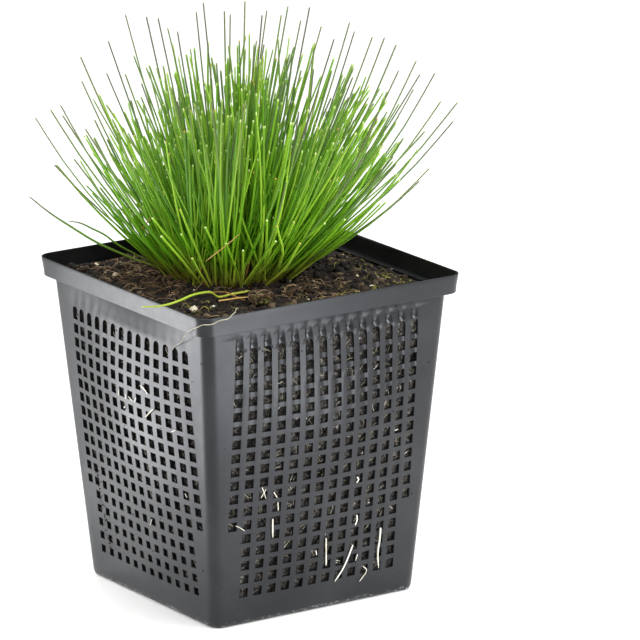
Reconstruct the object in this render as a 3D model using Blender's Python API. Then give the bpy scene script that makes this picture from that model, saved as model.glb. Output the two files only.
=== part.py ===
"""Potted fiber optic grass: a square mesh basket, its soil, and a tuft of fine round culms.

Metres, +Z up. The origin is the centre of the basket's underside, on the surface it stands on.
The wall that faces -Y and the wall that faces -X meet at the basket's front corner.
"""

import math
import random

import bmesh
import bpy
from mathutils import Matrix, Vector

MM = 0.001
GAP = 0.3 * MM

# Basket
RIM_SIDE = 111.0 * MM
COLLAR_LOW_SIDE = 109.7 * MM
COLLAR_HEIGHT = 7.0 * MM
BODY_TOP_SIDE = 103.4 * MM
BASE_SIDE = 85.2 * MM
POT_HEIGHT = 119.0 * MM
WALL = 1.2 * MM
WALL_BULGE = 4.5 * MM
BULGE_FROM = 11.0 * MM
BULGE_TO = 104.1 * MM
RIM_RISE = 0.3 * MM
BODY_CORNER = 4.5 * MM
COLLAR_CORNER = 5.5 * MM
FOOT_FILLET = 2.0 * MM
CORNER_STEPS = 3

# Mesh of the walls: each window stands for two by two of the fine moulded holes
HOLE_PITCH_ACROSS = 5.7 * MM
HOLE_PITCH_UP = 5.17 * MM
HOLE_WIDTH = 3.35 * MM
HOLE_HEIGHT = 3.42 * MM
SECOND_ROW_TOP = 96.9 * MM
TOP_ROW_EXTRA = 1.9 * MM
WINDOW_COLUMNS = 7
WINDOW_ROWS = 9
SHORT_COLUMN_ROWS = 6
WALL_LINES = 2 * WINDOW_COLUMNS + 1
FIRST_WINDOW_LINE = 3

# Drain slots in the floor
FLOOR_SLOTS = 2
FLOOR_SLOT_SIDE = 20.0 * MM
FLOOR_SLOT_PITCH = 32.0 * MM

# Soil
SOIL_TOP = 112.6 * MM
SOIL_GAP = 0.5 * MM
SOIL_CORNER = 9.0 * MM
SOIL_ROUGHNESS = 0.9 * MM
SOIL_SIDE_STEPS = 4

# Tuft
CROWN_CENTRE = Vector((-3.7 * MM, 7.2 * MM, 0.0))
CROWN_RADIUS = 19.0 * MM
CROWN_BASE = 114.6 * MM
REACH_ORIGIN = 112.0 * MM
SKIRT_ELEVATION = 24.0
SKIRT_REACH = 42.0 * MM
LOCK_COLUMNS = 18
LOCK_RINGS = (
    # elevation and reach of the dense middle above the ring, elevation and reach of the tips
    (39.0, 50.0 * MM, 34.0, 91.0 * MM),
    (54.0, 60.0 * MM, 48.0, 100.0 * MM),
    (68.0, 66.0 * MM, 62.0, 104.0 * MM),
    (80.0, 68.0 * MM, 77.0, 102.5 * MM),
)
FULL_SIDE_AZIMUTH = -33.0
FULL_SIDE_SHARE = 0.06
TIP_WIDTH = 1.2 * MM
TUFT_SEED = 59
SEED = 11

# Single culms, stalks and roots
CULM_RADIUS = 0.45 * MM
ROOT_RADIUS = 0.4 * MM
ROUTE_STEPS = 12
BEVEL_RESOLUTION = 1

ARCHING_CULM = ((-26.5, 20.8, 118.2), (-33.0, 26.3, 120.9), (-43.2, 32.9, 126.3), (-51.2, 38.1, 132.4),
                (-57.5, 42.2, 137.6), (-63.4, 46.0, 143.5))
FALLEN_CULM = ((-11.5, -18.6, 115.2), (-19.8, -19.2, 115.0), (-26.1, -20.1, 115.0), (-31.5, -22.6, 118.4),
               (-42.0, -28.4, 120.4), (-50.0, -32.8, 120.7), (-56.1, -34.4, 120.5), (-60.2, -32.1, 119.8),
               (-63.0, -27.6, 119.2))
DRY_STALK = ((-24.5, -13.6, 115.4), (-23.9, -16.5, 116.0), (-22.9, -20.2, 116.5), (-21.9, -24.0, 115.9),
             (-21.0, -29.4, 115.2))
ROOT_STRAND = ((-38.0, -50.8, 119.9), (-41.4, -54.7, 120.0), (-43.6, -56.1, 119.6), (-46.3, -56.5, 118.3),
               (-51.0, -56.3, 117.5), (-54.9, -54.3, 117.2), (-56.3, -49.4, 114.7), (-56.1, -44.2, 111.4),
               (-53.8, -39.0, 107.7), (-53.0, -32.6, 104.2), (-52.6, -27.2, 99.4))
WALL_ROOTS = (
    ((-21.6, 38.9), (-21.5, 31.8)),
    ((1.3, 27.7), (1.4, 16.8)),
    ((13.4, 22.9), (10.9, 16.5), (7.9, 13.3), (5.5, 10.3)),
    ((25.7, 26.9), (24.2, 20.0), (24.7, 11.8)),
)

# Lumps on the soil: place and size
LUMPS = {
    "moss_clump": ((-15.5, -31.2), (8.0, 6.6, 4.6)),
    "peat_crumb_1": ((1.0, -27.6), (6.2, 5.2, 3.6)),
    "peat_crumb_2": ((9.4, -26.4), (4.4, 4.4, 2.8)),
}

BLACK_PLASTIC = ("black_polypropylene", (0.045, 0.047, 0.050), 0.42)
PEAT = ("peat_soil", (0.030, 0.018, 0.010), 0.95)
LIVE_CULM = ("green_culm", (0.120, 0.330, 0.022), 0.45)
DRY_CULM = ("straw_culm", (0.480, 0.300, 0.110), 0.70)
PALE_ROOT = ("pale_root", (0.760, 0.720, 0.600), 0.60)
MOSS = ("moss_and_fibre", (0.110, 0.105, 0.040), 0.95)


def clear_scene():
    """Removes every object, so that the part starts from nothing."""
    for obj in list(bpy.data.objects):
        bpy.data.objects.remove(obj, do_unlink=True)


def make_material(spec):
    """A Principled BSDF of the given name, colour and roughness."""
    name, colour, roughness = spec
    material = bpy.data.materials.get(name) or bpy.data.materials.new(name)
    material.use_nodes = True
    shader = material.node_tree.nodes["Principled BSDF"]
    shader.inputs["Base Color"].default_value = (*colour, 1.0)
    shader.inputs["Roughness"].default_value = roughness
    shader.inputs["Metallic"].default_value = 0.0
    material.diffuse_color = (*colour, 1.0)
    return material


def make_object(name, bm, spec, smooth_degrees=None):
    """Turns a bmesh into a named object with its material."""
    bmesh.ops.recalc_face_normals(bm, faces=bm.faces[:])
    mesh = bpy.data.meshes.new(name)
    bm.to_mesh(mesh)
    bm.free()
    if smooth_degrees:
        mesh.shade_smooth()
        mesh.set_sharp_from_angle(angle=math.radians(smooth_degrees))
    obj = bpy.data.objects.new(name, mesh)
    bpy.context.scene.collection.objects.link(obj)
    mesh.materials.append(make_material(spec))
    return obj


# The square shell that the basket and its soil share

def shoulder_height():
    """Height of the collar's underside."""
    return POT_HEIGHT - COLLAR_HEIGHT


def body_half(z):
    """Half of the body's outer side at a height, along its straight taper."""
    share = z / shoulder_height()
    return 0.5 * (BASE_SIDE + (BODY_TOP_SIDE - BASE_SIDE) * share)


def bulge(u, flat, z):
    """How far the soil pushes a wall out, at a place across it and a height between its stiff bands."""
    share = min(max((z - BULGE_FROM) / (BULGE_TO - BULGE_FROM), 0.0), 1.0)
    across = max(0.0, 1.0 - (u / flat) ** 2)
    return WALL_BULGE * across * 4.0 * share * (1.0 - share)


def side_turn(side):
    """Turns the wall that faces -Y round to one of the four sides."""
    return Matrix.Rotation(side * math.pi / 2.0, 3, "Z")


def shell_point(side, u, z, half, radius, inset=0.0):
    """A point of a wall's flat part, pushed out by the bulge."""
    flat = half - radius
    out = half - inset + bulge(u, flat, z)
    return side_turn(side) @ Vector((u, -out, z))


def corner_point(side, turn, z, half, radius, inset=0.0):
    """A point of the rounded corner at a wall's right end, from turn 0 to 1."""
    centre = half - radius
    angle = -math.pi / 2.0 + turn * math.pi / 2.0
    reach = radius - inset
    point = Vector((centre + reach * math.cos(angle), -centre + reach * math.sin(angle), z))
    return side_turn(side) @ point


# Basket

def hole_row_top(row):
    """Height of the top edge of one fine row of holes, counted from 1 at the top."""
    return SECOND_ROW_TOP + (2 - row) * HOLE_PITCH_UP


def window_heights():
    """Bottom and top of each row of windows, from the lowest to the highest."""
    rows = []
    for window in reversed(range(WINDOW_ROWS)):
        upper = 2 * window + 1
        top = hole_row_top(upper) + (TOP_ROW_EXTRA if window == 0 else 0.0)
        rows.append((hole_row_top(upper + 1) - HOLE_HEIGHT, top))
    return rows


def window_lines(short):
    """Places across a wall of the windows' edges. A short row has narrower end windows."""
    lines = []
    for window in range(WINDOW_COLUMNS):
        centre = (window - (WINDOW_COLUMNS - 1) / 2.0) * 2.0 * HOLE_PITCH_ACROSS
        half = (HOLE_PITCH_ACROSS + HOLE_WIDTH) / 2.0
        lines += [centre - half, centre + half]
    if short:
        lines[0] += HOLE_PITCH_ACROSS
        lines[-1] -= HOLE_PITCH_ACROSS
    return lines


def basket_levels():
    """Height, half side, corner radius and shortness of each level line, bottom to top."""
    fillet_mid = FOOT_FILLET * 0.3
    levels = [
        (0.0, BASE_SIDE / 2.0 - FOOT_FILLET, BODY_CORNER - FOOT_FILLET, True),
        (fillet_mid, BASE_SIDE / 2.0 - fillet_mid, BODY_CORNER - fillet_mid, True),
        (FOOT_FILLET, body_half(FOOT_FILLET), BODY_CORNER, True),
    ]
    for index, heights in enumerate(window_heights()):
        short = index < WINDOW_ROWS - SHORT_COLUMN_ROWS
        levels += [(z, body_half(z), BODY_CORNER, short) for z in heights]
    shoulder = shoulder_height()
    levels += [
        (shoulder, BODY_TOP_SIDE / 2.0, BODY_CORNER, False),
        (shoulder + 0.4 * MM, COLLAR_LOW_SIDE / 2.0, COLLAR_CORNER, False),
        (POT_HEIGHT - RIM_RISE, RIM_SIDE / 2.0, COLLAR_CORNER, False),
    ]
    return levels


def gathered(line, row):
    """The crossing that a grid crossing is drawn in to. Only the windows' corners and the ends of the
    plain bands keep their own places, and the weld joins the rest."""
    low_band, high_band = FIRST_WINDOW_LINE - 1, FIRST_WINDOW_LINE + 2 * WINDOW_ROWS
    in_band = row <= low_band or row >= high_band
    in_wall = 0 < line < WALL_LINES
    if in_wall and in_band:
        return (0 if line <= WALL_LINES // 2 else WALL_LINES), row
    if not in_wall and not in_band:
        return line, (low_band if row < FIRST_WINDOW_LINE + WINDOW_ROWS else high_band)
    return line, row


def basket_point(column, row, levels):
    """Where one crossing of the wrapped grid goes on the basket's outer face."""
    side, line = divmod(column, WALL_LINES + CORNER_STEPS)
    line, row = gathered(line, row)
    z, half, radius, short = levels[row]
    if line > WALL_LINES:
        return corner_point(side, (line - WALL_LINES) / CORNER_STEPS, z, half, radius)
    flat = half - radius
    return shell_point(side, [-flat, *window_lines(short), flat][line], z, half, radius)


def is_window(column, row):
    """Whether a cell of the wrapped grid is open."""
    line = column % (WALL_LINES + CORNER_STEPS)
    upward = row - FIRST_WINDOW_LINE
    return line % 2 == 1 and line < WALL_LINES - 1 and 0 <= upward < 2 * WINDOW_ROWS and upward % 2 == 0


def make_basket():
    """The moulded basket: one wrapped grid with open windows, a floor and a stepped collar."""
    levels = basket_levels()
    columns = 4 * (WALL_LINES + CORNER_STEPS)
    rows = len(levels) - 1
    bm = bmesh.new()
    bmesh.ops.create_grid(bm, x_segments=columns, y_segments=rows, size=1.0)
    crossing = {}
    for vert in bm.verts:
        crossing[vert] = tuple(round((place + 1.0) / 2.0 * count) for place, count in zip(vert.co, (columns, rows)))
    windows = [f for f in bm.faces if is_window(*(min(crossing[v][i] for v in f.verts) for i in (0, 1)))]
    for vert, (column, row) in crossing.items():
        vert.co = basket_point(column % columns, row, levels)
    bmesh.ops.delete(bm, geom=windows, context="FACES_ONLY")
    bmesh.ops.remove_doubles(bm, verts=bm.verts[:], dist=0.01 * MM)
    foot = [e for e in bm.edges if e.is_boundary and all(v.co.z < 0.1 * MM for v in e.verts)]
    bmesh.ops.edgeloop_fill(bm, edges=foot)
    basket = make_object("mesh_pot", bm, BLACK_PLASTIC, 35.0)

    shell = basket.modifiers.new("moulded wall", "SOLIDIFY")
    shell.thickness = WALL
    shell.offset = -1.0
    shell.use_even_offset = True

    slots = basket.modifiers.new("drain slots", "BOOLEAN")
    slots.operation = "DIFFERENCE"
    slots.solver = "EXACT"
    slots.object = make_slot_cutter()
    return basket


def make_slot_cutter():
    """Square drain slots around the floor's middle cross."""
    bm = bmesh.new()
    middle = (FLOOR_SLOTS - 1) / 2.0
    for i in range(FLOOR_SLOTS):
        for j in range(FLOOR_SLOTS):
            place = Vector(((i - middle) * FLOOR_SLOT_PITCH, (j - middle) * FLOOR_SLOT_PITCH, WALL / 2.0))
            size = Matrix.Diagonal((FLOOR_SLOT_SIDE, FLOOR_SLOT_SIDE, 4.0 * WALL, 1.0))
            bmesh.ops.create_cube(bm, size=1.0, matrix=Matrix.Translation(place) @ size)
    cutter = make_object("slot_cutter", bm, BLACK_PLASTIC)
    cutter.hide_render = True
    cutter.display_type = "WIRE"
    return cutter


# Soil

def soil_ring(z, half, radius):
    """The points of one level outline of the soil block."""
    flat = half - radius
    ring = []
    for side in range(4):
        for step in range(SOIL_SIDE_STEPS + 1):
            u = (2.0 * step / SOIL_SIDE_STEPS - 1.0) * flat
            ring.append(shell_point(side, u, z, half, radius))
        ring.append(corner_point(side, 0.5, z, half, radius))
    return ring


def make_soil():
    """Peat soil that fills the basket to just under the collar, with a rough top."""
    rough = random.Random(SEED)
    inset = WALL + SOIL_GAP
    floor = WALL + SOIL_GAP
    heights = [floor, 28.0 * MM, 56.0 * MM, 84.0 * MM, BULGE_TO, SOIL_TOP - 3.0 * MM]
    bm = bmesh.new()
    outline = soil_ring(floor, body_half(floor) - inset - FOOT_FILLET, SOIL_CORNER)
    ring = [bm.verts.new(p) for p in outline]
    bottom = bm.faces.new(ring)
    loop = bottom.edges[:]
    for z in heights[1:]:
        loop = grow_ring(bm, loop, soil_ring(z, body_half(z) - inset, SOIL_CORNER))
    for share, rise in ((0.97, 3.0), (0.68, 3.4), (0.34, 3.8)):
        z = heights[-1] + rise * MM
        flat_ring = [Vector((p.x * share, p.y * share, z)) for p in soil_ring(z, body_half(z) - inset, SOIL_CORNER)]
        for point in flat_ring:
            point.z += rough.uniform(-SOIL_ROUGHNESS, SOIL_ROUGHNESS)
        loop = grow_ring(bm, loop, flat_ring)
    bmesh.ops.edgeloop_fill(bm, edges=loop)
    top = [f for f in bm.faces if all(v.co.z > SOIL_TOP - 0.5 * MM for v in f.verts) and len(f.verts) > 4]
    bmesh.ops.poke(bm, faces=top)
    return make_object("soil", bm, PEAT, 50.0)


def grow_ring(bm, loop, points):
    """Extrudes a closed loop of edges to new points, given in the loop's own order."""
    grown = bmesh.ops.extrude_edge_only(bm, edges=loop)["geom"]
    edges = [item for item in grown if isinstance(item, bmesh.types.BMEdge)]
    verts = [item for item in grown if isinstance(item, bmesh.types.BMVert)]
    for vert, point in zip(verts, points):
        vert.co = point
    fresh = set(verts)
    return [e for e in edges if e.verts[0] in fresh and e.verts[1] in fresh]


# Tuft

def tuft_point(azimuth, elevation, reach):
    """A point at a bearing and distance from the middle of the crown."""
    level = math.cos(elevation) * reach
    rise = math.sin(elevation) * reach
    origin = CROWN_CENTRE + Vector((0.0, 0.0, REACH_ORIGIN))
    return origin + Vector((math.cos(azimuth) * level, math.sin(azimuth) * level, rise))


def tuft_ring(bm, loop, elevation, reach):
    """Adds one level ring to the dense middle of the tuft."""
    points = [tuft_point(2.0 * math.pi * i / LOCK_COLUMNS, elevation, reach) for i in range(LOCK_COLUMNS)]
    return grow_ring(bm, loop, points)


def bearing(face):
    """A face's bearing from the middle of the crown."""
    out = face.calc_center_median() - CROWN_CENTRE
    return math.atan2(out.y, out.x)


def draw_lock(bm, seed, tip, lift):
    """Draws one face of the dense middle out into a tapering lock that ends at tip."""
    start = seed.calc_center_median()
    first_width = math.sqrt(seed.calc_area())
    steps = ((0.30, 0.44), (0.62, 0.28), (1.0, TIP_WIDTH / first_width))
    face = seed
    scale = 1.0
    for share, width in steps:
        bend = lift * math.sin(math.pi * share)
        place = start.lerp(tip, share) + Vector((0.0, 0.0, bend))
        face = bmesh.ops.extrude_discrete_faces(bm, faces=[face])["faces"][0]
        centre = face.calc_center_median()
        for vert in face.verts:
            vert.co = place + (vert.co - centre) * (width / scale)
        scale = width
    return face


def make_tuft():
    """The dense tuft: crowded culm bases that open into tapering locks of culms."""
    draw = random.Random(TUFT_SEED)
    bm = bmesh.new()
    crown_elevation = math.atan2(CROWN_BASE - REACH_ORIGIN, CROWN_RADIUS)
    crown_reach = math.hypot(CROWN_BASE - REACH_ORIGIN, CROWN_RADIUS)
    base = [tuft_point(2.0 * math.pi * i / LOCK_COLUMNS, crown_elevation, crown_reach) for i in range(LOCK_COLUMNS)]
    loop = bm.faces.new([bm.verts.new(p) for p in base]).edges[:]
    seeds = []
    loop = tuft_ring(bm, loop, math.radians(SKIRT_ELEVATION), SKIRT_REACH)
    for elevation, dense_reach, tip_elevation, reach in LOCK_RINGS:
        before = set(bm.faces)
        loop = tuft_ring(bm, loop, math.radians(elevation), dense_reach)
        # An extrusion lists its faces in another order each run, and the draws below go by this order.
        fresh = sorted((f for f in bm.faces if f not in before), key=bearing)
        seeds += [(f, tip_elevation, reach) for f in fresh]
    cap = bmesh.ops.edgeloop_fill(bm, edges=loop)["faces"][0]
    seeds.append((cap, 90.0, LOCK_RINGS[-1][3]))
    bmesh.ops.recalc_face_normals(bm, faces=bm.faces[:])
    origin = CROWN_CENTRE + Vector((0.0, 0.0, REACH_ORIGIN))
    for seed, tip_elevation, reach in seeds:
        out = seed.calc_center_median() - origin
        azimuth = math.atan2(out.y, out.x) + math.radians(draw.uniform(-6.0, 6.0))
        elevation = math.radians(tip_elevation + draw.uniform(-5.0, 5.0))
        fuller = FULL_SIDE_SHARE * math.cos(elevation) * math.cos(azimuth - math.radians(FULL_SIDE_AZIMUTH))
        length = reach * (draw.uniform(0.92, 1.03) + fuller)
        lift = draw.uniform(-1.0, 2.5) * MM
        draw_lock(bm, seed, tuft_point(azimuth, elevation, length), lift)
    return make_object("grass_tuft", bm, LIVE_CULM, 60.0)


# Single culms, stalks, roots and lumps

def smooth_route(points, steps):
    """Even steps along a Catmull-Rom curve through the route's own points."""
    ends = [2.0 * points[0] - points[1], *points, 2.0 * points[-1] - points[-2]]
    route = []
    for i in range(steps + 1):
        place = i / steps * (len(points) - 1)
        k = min(int(place), len(points) - 2)
        t = place - k
        a, b, c, d = ends[k:k + 4]
        route.append(0.5 * (2.0 * b + (c - a) * t + (2.0 * a - 5.0 * b + 4.0 * c - d) * t ** 2
                            + (3.0 * b - a - 3.0 * c + d) * t ** 3))
    return route


def make_strand(name, points_mm, radius, spec, tip_share=0.5, steps=ROUTE_STEPS):
    """A thin round strand along a smooth route, thinner towards its last point."""
    route = smooth_route([Vector(p) * MM for p in points_mm], steps)
    curve = bpy.data.curves.new(name, "CURVE")
    curve.dimensions = "3D"
    curve.bevel_depth = radius
    curve.bevel_resolution = BEVEL_RESOLUTION
    curve.use_fill_caps = True
    spline = curve.splines.new("POLY")
    spline.points.add(len(route) - 1)
    for i, (place, point) in enumerate(zip(route, spline.points)):
        share = i / (len(route) - 1)
        point.co = (*place, 1.0)
        point.radius = 1.0 + (tip_share - 1.0) * share ** 2
    strand = bpy.data.objects.new(name, curve)
    bpy.context.scene.collection.objects.link(strand)
    curve.materials.append(make_material(spec))
    return strand


def wall_root_route(places):
    """The route of a root that lies on the outer face of the wall that faces -Y."""
    route = []
    for u, z in places:
        half = body_half(z * MM)
        on_wall = shell_point(0, u * MM, z * MM, half, BODY_CORNER, -(ROOT_RADIUS + 2.0 * GAP))
        route.append(tuple(on_wall / MM))
    return route


def make_lump(name, place, size, number):
    """A lump of fibre or peat, with a flat underside close above the soil."""
    rough = random.Random(SEED + number)
    bm = bmesh.new()
    bmesh.ops.create_icosphere(bm, subdivisions=2, radius=0.5)
    for vert in bm.verts:
        vert.co *= 1.0 + rough.uniform(-0.12, 0.12)
    cut = bmesh.ops.bisect_plane(bm, geom=bm.verts[:] + bm.edges[:] + bm.faces[:], plane_co=(0.0, 0.0, -0.15),
                                 plane_no=(0.0, 0.0, -1.0), clear_outer=True)["geom_cut"]
    bmesh.ops.edgeloop_fill(bm, edges=[item for item in cut if isinstance(item, bmesh.types.BMEdge)])
    bmesh.ops.scale(bm, vec=Vector(size) * MM, verts=bm.verts[:])
    lowest = min(v.co.z for v in bm.verts)
    rest = SOIL_TOP + SOIL_ROUGHNESS + 1.2 * MM
    bmesh.ops.translate(bm, vec=(place[0] * MM, place[1] * MM, rest - lowest), verts=bm.verts[:])
    return make_object(name, bm, MOSS if name.startswith("moss") else PEAT, 50.0)


def main():
    """Builds every piece of the potted plant."""
    clear_scene()
    make_basket()
    make_soil()
    make_tuft()
    make_strand("arching_culm", ARCHING_CULM, CULM_RADIUS, LIVE_CULM, 0.5)
    make_strand("fallen_culm", FALLEN_CULM, CULM_RADIUS, LIVE_CULM, 0.7)
    make_strand("dry_stalk", DRY_STALK, CULM_RADIUS, DRY_CULM, 0.8, 5)
    make_strand("root_strand", ROOT_STRAND, ROOT_RADIUS, PALE_ROOT, 0.7)
    for number, places in enumerate(WALL_ROOTS, start=1):
        make_strand(f"wall_root_{number}", wall_root_route(places), ROOT_RADIUS, PALE_ROOT, 0.8, 5)
    for number, (name, (place, size)) in enumerate(LUMPS.items(), start=1):
        make_lump(name, place, size, number)


main()
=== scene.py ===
"""Looks of a potted fiber optic grass: a moulded mesh basket, moist peat and a tuft of fine culms.

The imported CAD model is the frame. Every piece here stands for one of its nodes or lies on one, in the
same metres and axes: +Z up, the origin at the middle of the basket's underside.
"""

from __future__ import annotations

import logging
import math
import random
from dataclasses import dataclass, field
from enum import Enum

import bmesh
import bpy
import numpy as np
from mathutils import Matrix, Vector, noise

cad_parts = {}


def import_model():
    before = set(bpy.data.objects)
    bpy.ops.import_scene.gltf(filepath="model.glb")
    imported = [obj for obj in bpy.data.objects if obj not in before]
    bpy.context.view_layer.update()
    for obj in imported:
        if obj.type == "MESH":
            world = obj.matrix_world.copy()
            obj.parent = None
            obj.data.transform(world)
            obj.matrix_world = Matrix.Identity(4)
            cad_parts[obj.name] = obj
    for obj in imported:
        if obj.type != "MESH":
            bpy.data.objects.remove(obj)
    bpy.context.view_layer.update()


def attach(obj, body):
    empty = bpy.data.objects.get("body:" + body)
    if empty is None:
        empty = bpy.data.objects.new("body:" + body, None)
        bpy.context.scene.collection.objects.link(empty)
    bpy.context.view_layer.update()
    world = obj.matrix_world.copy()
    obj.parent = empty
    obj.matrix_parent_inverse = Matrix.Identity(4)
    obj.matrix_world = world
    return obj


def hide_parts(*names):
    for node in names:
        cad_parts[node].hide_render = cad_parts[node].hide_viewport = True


LOG = logging.getLogger("potted_grass")
MM = 0.001
ROOT = "root"

# Heights and places that the basket, the peat and the plant share
POT_HEIGHT = 119.0 * MM
SHOULDER = 112.0 * MM
CROWN = Vector((-3.7 * MM, 7.2 * MM, 112.0 * MM))
CAMERA_AZIMUTH = math.radians(-33.07)
CAMERA_RIGHT = Vector((math.cos(CAMERA_AZIMUTH), math.sin(CAMERA_AZIMUTH), 0.0))
CAMERA_AWAY = Vector((-math.sin(CAMERA_AZIMUTH), math.cos(CAMERA_AZIMUTH), 0.0))
RISE_PER_DEPTH = 0.29


# Colours and nodes

def linear(colour: str) -> tuple[float, float, float, float]:
    """Turns an sRGB hex colour to the linear values that Blender's sockets take.

    Args:
        colour: Six hex digits, with or without a leading hash.

    Returns:
        Linear red, green and blue, and an alpha of one.
    """
    digits = colour.lstrip("#")
    parts = [int(digits[i:i + 2], 16) / 255.0 for i in (0, 2, 4)]
    red, green, blue = (p / 12.92 if p <= 0.04045 else ((p + 0.055) / 1.055) ** 2.4 for p in parts)
    return red, green, blue, 1.0


def per_size(millimetres: float) -> float:
    """The scale of a pattern on Object coordinates whose features are this large."""
    return 1.0 / (millimetres * MM)


def add_node(
    tree: bpy.types.NodeTree,
    kind: str,
    inputs: dict[str | int, object] | None = None,
    stops: list[tuple[float, str]] | None = None,
    **settings: object,
) -> bpy.types.Node:
    """Adds a node with its settings, input values and links.

    Args:
        tree: The node tree that gets the node.
        kind: The node's type name.
        inputs: Input name or number to a value, or to the output socket that feeds it.
        stops: Places and hex colours for a node that holds a colour ramp.
        settings: The node's own properties.

    Returns:
        The new node.
    """
    node = tree.nodes.new(kind)
    for name, value in settings.items():
        setattr(node, name, value)
    for name, value in (inputs or {}).items():
        if isinstance(value, bpy.types.NodeSocket):
            tree.links.new(value, node.inputs[name])
        else:
            node.inputs[name].default_value = value
    if stops:
        ramp = node.color_ramp
        while len(ramp.elements) < len(stops):
            ramp.elements.new(0.5)
        for element, (place, colour) in zip(ramp.elements, stops):
            element.position = place
            element.color = linear(colour)
    return node


@dataclass(frozen=True)
class Finish:
    """A finish: what the surface is, its base values, and the pattern that its subclass draws."""

    name: str
    slot: str
    colour: str
    roughness: float
    ior: float = 1.5

    def material(self) -> bpy.types.Material:
        """Builds the material once and hands out the same one afterwards.

        Returns:
            The Principled material with this finish's pattern.
        """
        found = bpy.data.materials.get(self.name)
        if found:
            return found
        made = bpy.data.materials.new(self.name)
        made.use_nodes = True
        made.diffuse_color = linear(self.colour)
        tree = made.node_tree
        shader = tree.nodes["Principled BSDF"]
        shader.inputs["Base Color"].default_value = linear(self.colour)
        shader.inputs["Roughness"].default_value = self.roughness
        shader.inputs["IOR"].default_value = self.ior
        place = add_node(tree, "ShaderNodeTexCoord").outputs["Object"]
        self.draw(tree, shader, place)
        return made

    def draw(self, tree: bpy.types.NodeTree, shader: bpy.types.Node, place: bpy.types.NodeSocket) -> None:
        """Draws the finish's pattern. The plain finish has none."""

    def dress(self, piece: bpy.types.Object) -> None:
        """Gives a piece this finish alone.

        Args:
            piece: A mesh object.
        """
        piece.data.materials.clear()
        piece.data.materials.append(self.material())


@dataclass(frozen=True)
class MouldedPolypropylene(Finish):
    """Recycled black polypropylene: a near-black body under a soft satin skin that mirrors the room in broad
    smears, with a slow mould wave, dusty patches, a fine grain, and pale patches along the foot that are a painted
    highlight."""

    name: str = "moulded polypropylene"
    slot: str = "black_polypropylene"
    colour: str = "#222427"
    roughness: float = 0.31
    ior: float = 1.42
    skin_tint: str = "#f2f6ff"
    flow_mm: float = 24.0
    wave_mm: float = 11.0
    wave_depth_mm: float = 0.03
    dust_mm: float = 3.4
    grain_mm: float = 0.5
    foot_highlight_mm: float = 1.3
    foot_highlight_height_mm: float = 2.4

    def draw(self, tree: bpy.types.NodeTree, shader: bpy.types.Node, place: bpy.types.NodeSocket) -> None:
        """Slow flow marks in the colour, dust in the gloss, waves and grain in the relief, a painted highlight at the
        foot.

        Args:
            tree: The material's node tree.
            shader: Its Principled node.
            place: Object coordinates.
        """
        shader.inputs["Specular Tint"].default_value = linear(self.skin_tint)
        flow = add_node(tree, "ShaderNodeTexNoise",
                        {"Vector": place, "Scale": per_size(self.flow_mm), "Detail": 3.0, "Roughness": 0.55})
        body = add_node(tree, "ShaderNodeValToRGB", {"Fac": flow.outputs["Fac"]},
                        stops=[(0.32, "#121314"), (0.5, "#161718"), (0.68, "#1f2021")])
        height = add_node(tree, "ShaderNodeSeparateXYZ", {"Vector": place}).outputs["Z"]
        # Painted highlight: pale grey patches mixed into the colour along the rounded foot.
        low = add_node(tree, "ShaderNodeMapRange", {"Value": height, "From Min": 0.3 * self.foot_highlight_height_mm * MM,
                                                    "From Max": self.foot_highlight_height_mm * MM,
                                                    "To Min": 1.0, "To Max": 0.0})
        highlight_noise = add_node(tree, "ShaderNodeTexNoise",
                       {"Vector": place, "Scale": per_size(self.foot_highlight_mm), "Detail": 4.0, "Roughness": 0.7})
        blend_share = add_node(tree, "ShaderNodeMapRange", {"Value": highlight_noise.outputs["Fac"], "From Min": 0.57,
                                                     "From Max": 0.62, "To Min": 0.0, "To Max": 1.0})
        foot_highlight = add_node(tree, "ShaderNodeMath", {0: low.outputs["Result"], 1: blend_share.outputs["Result"]},
                         operation="MULTIPLY")
        body_with_highlight = add_node(tree, "ShaderNodeMix", {"Factor": foot_highlight.outputs[0], "A": body.outputs["Color"],
                                                "B": linear("#9a9da0")}, data_type="RGBA")
        tree.links.new(body_with_highlight.outputs["Result"], shader.inputs["Base Color"])
        dust = add_node(tree, "ShaderNodeTexNoise",
                        {"Vector": place, "Scale": per_size(self.dust_mm), "Detail": 5.0, "Roughness": 0.65})
        gloss = add_node(tree, "ShaderNodeMapRange",
                         {"Value": dust.outputs["Fac"], "From Min": 0.3, "From Max": 0.7,
                          "To Min": self.roughness - 0.04, "To Max": self.roughness + 0.05})
        tree.links.new(gloss.outputs["Result"], shader.inputs["Roughness"])
        wave = add_node(tree, "ShaderNodeTexNoise",
                        {"Vector": place, "Scale": per_size(self.wave_mm), "Detail": 2.0, "Roughness": 0.4})
        swell = add_node(tree, "ShaderNodeBump", {"Height": wave.outputs["Fac"], "Strength": 1.0,
                                                  "Distance": self.wave_depth_mm * MM})
        grain = add_node(tree, "ShaderNodeTexNoise",
                         {"Vector": place, "Scale": per_size(self.grain_mm), "Detail": 2.0})
        relief = add_node(tree, "ShaderNodeBump", {"Height": grain.outputs["Fac"], "Strength": 0.08,
                                                   "Distance": 0.04 * MM, "Normal": swell.outputs["Normal"]})
        tree.links.new(relief.outputs["Normal"], shader.inputs["Normal"])


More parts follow.
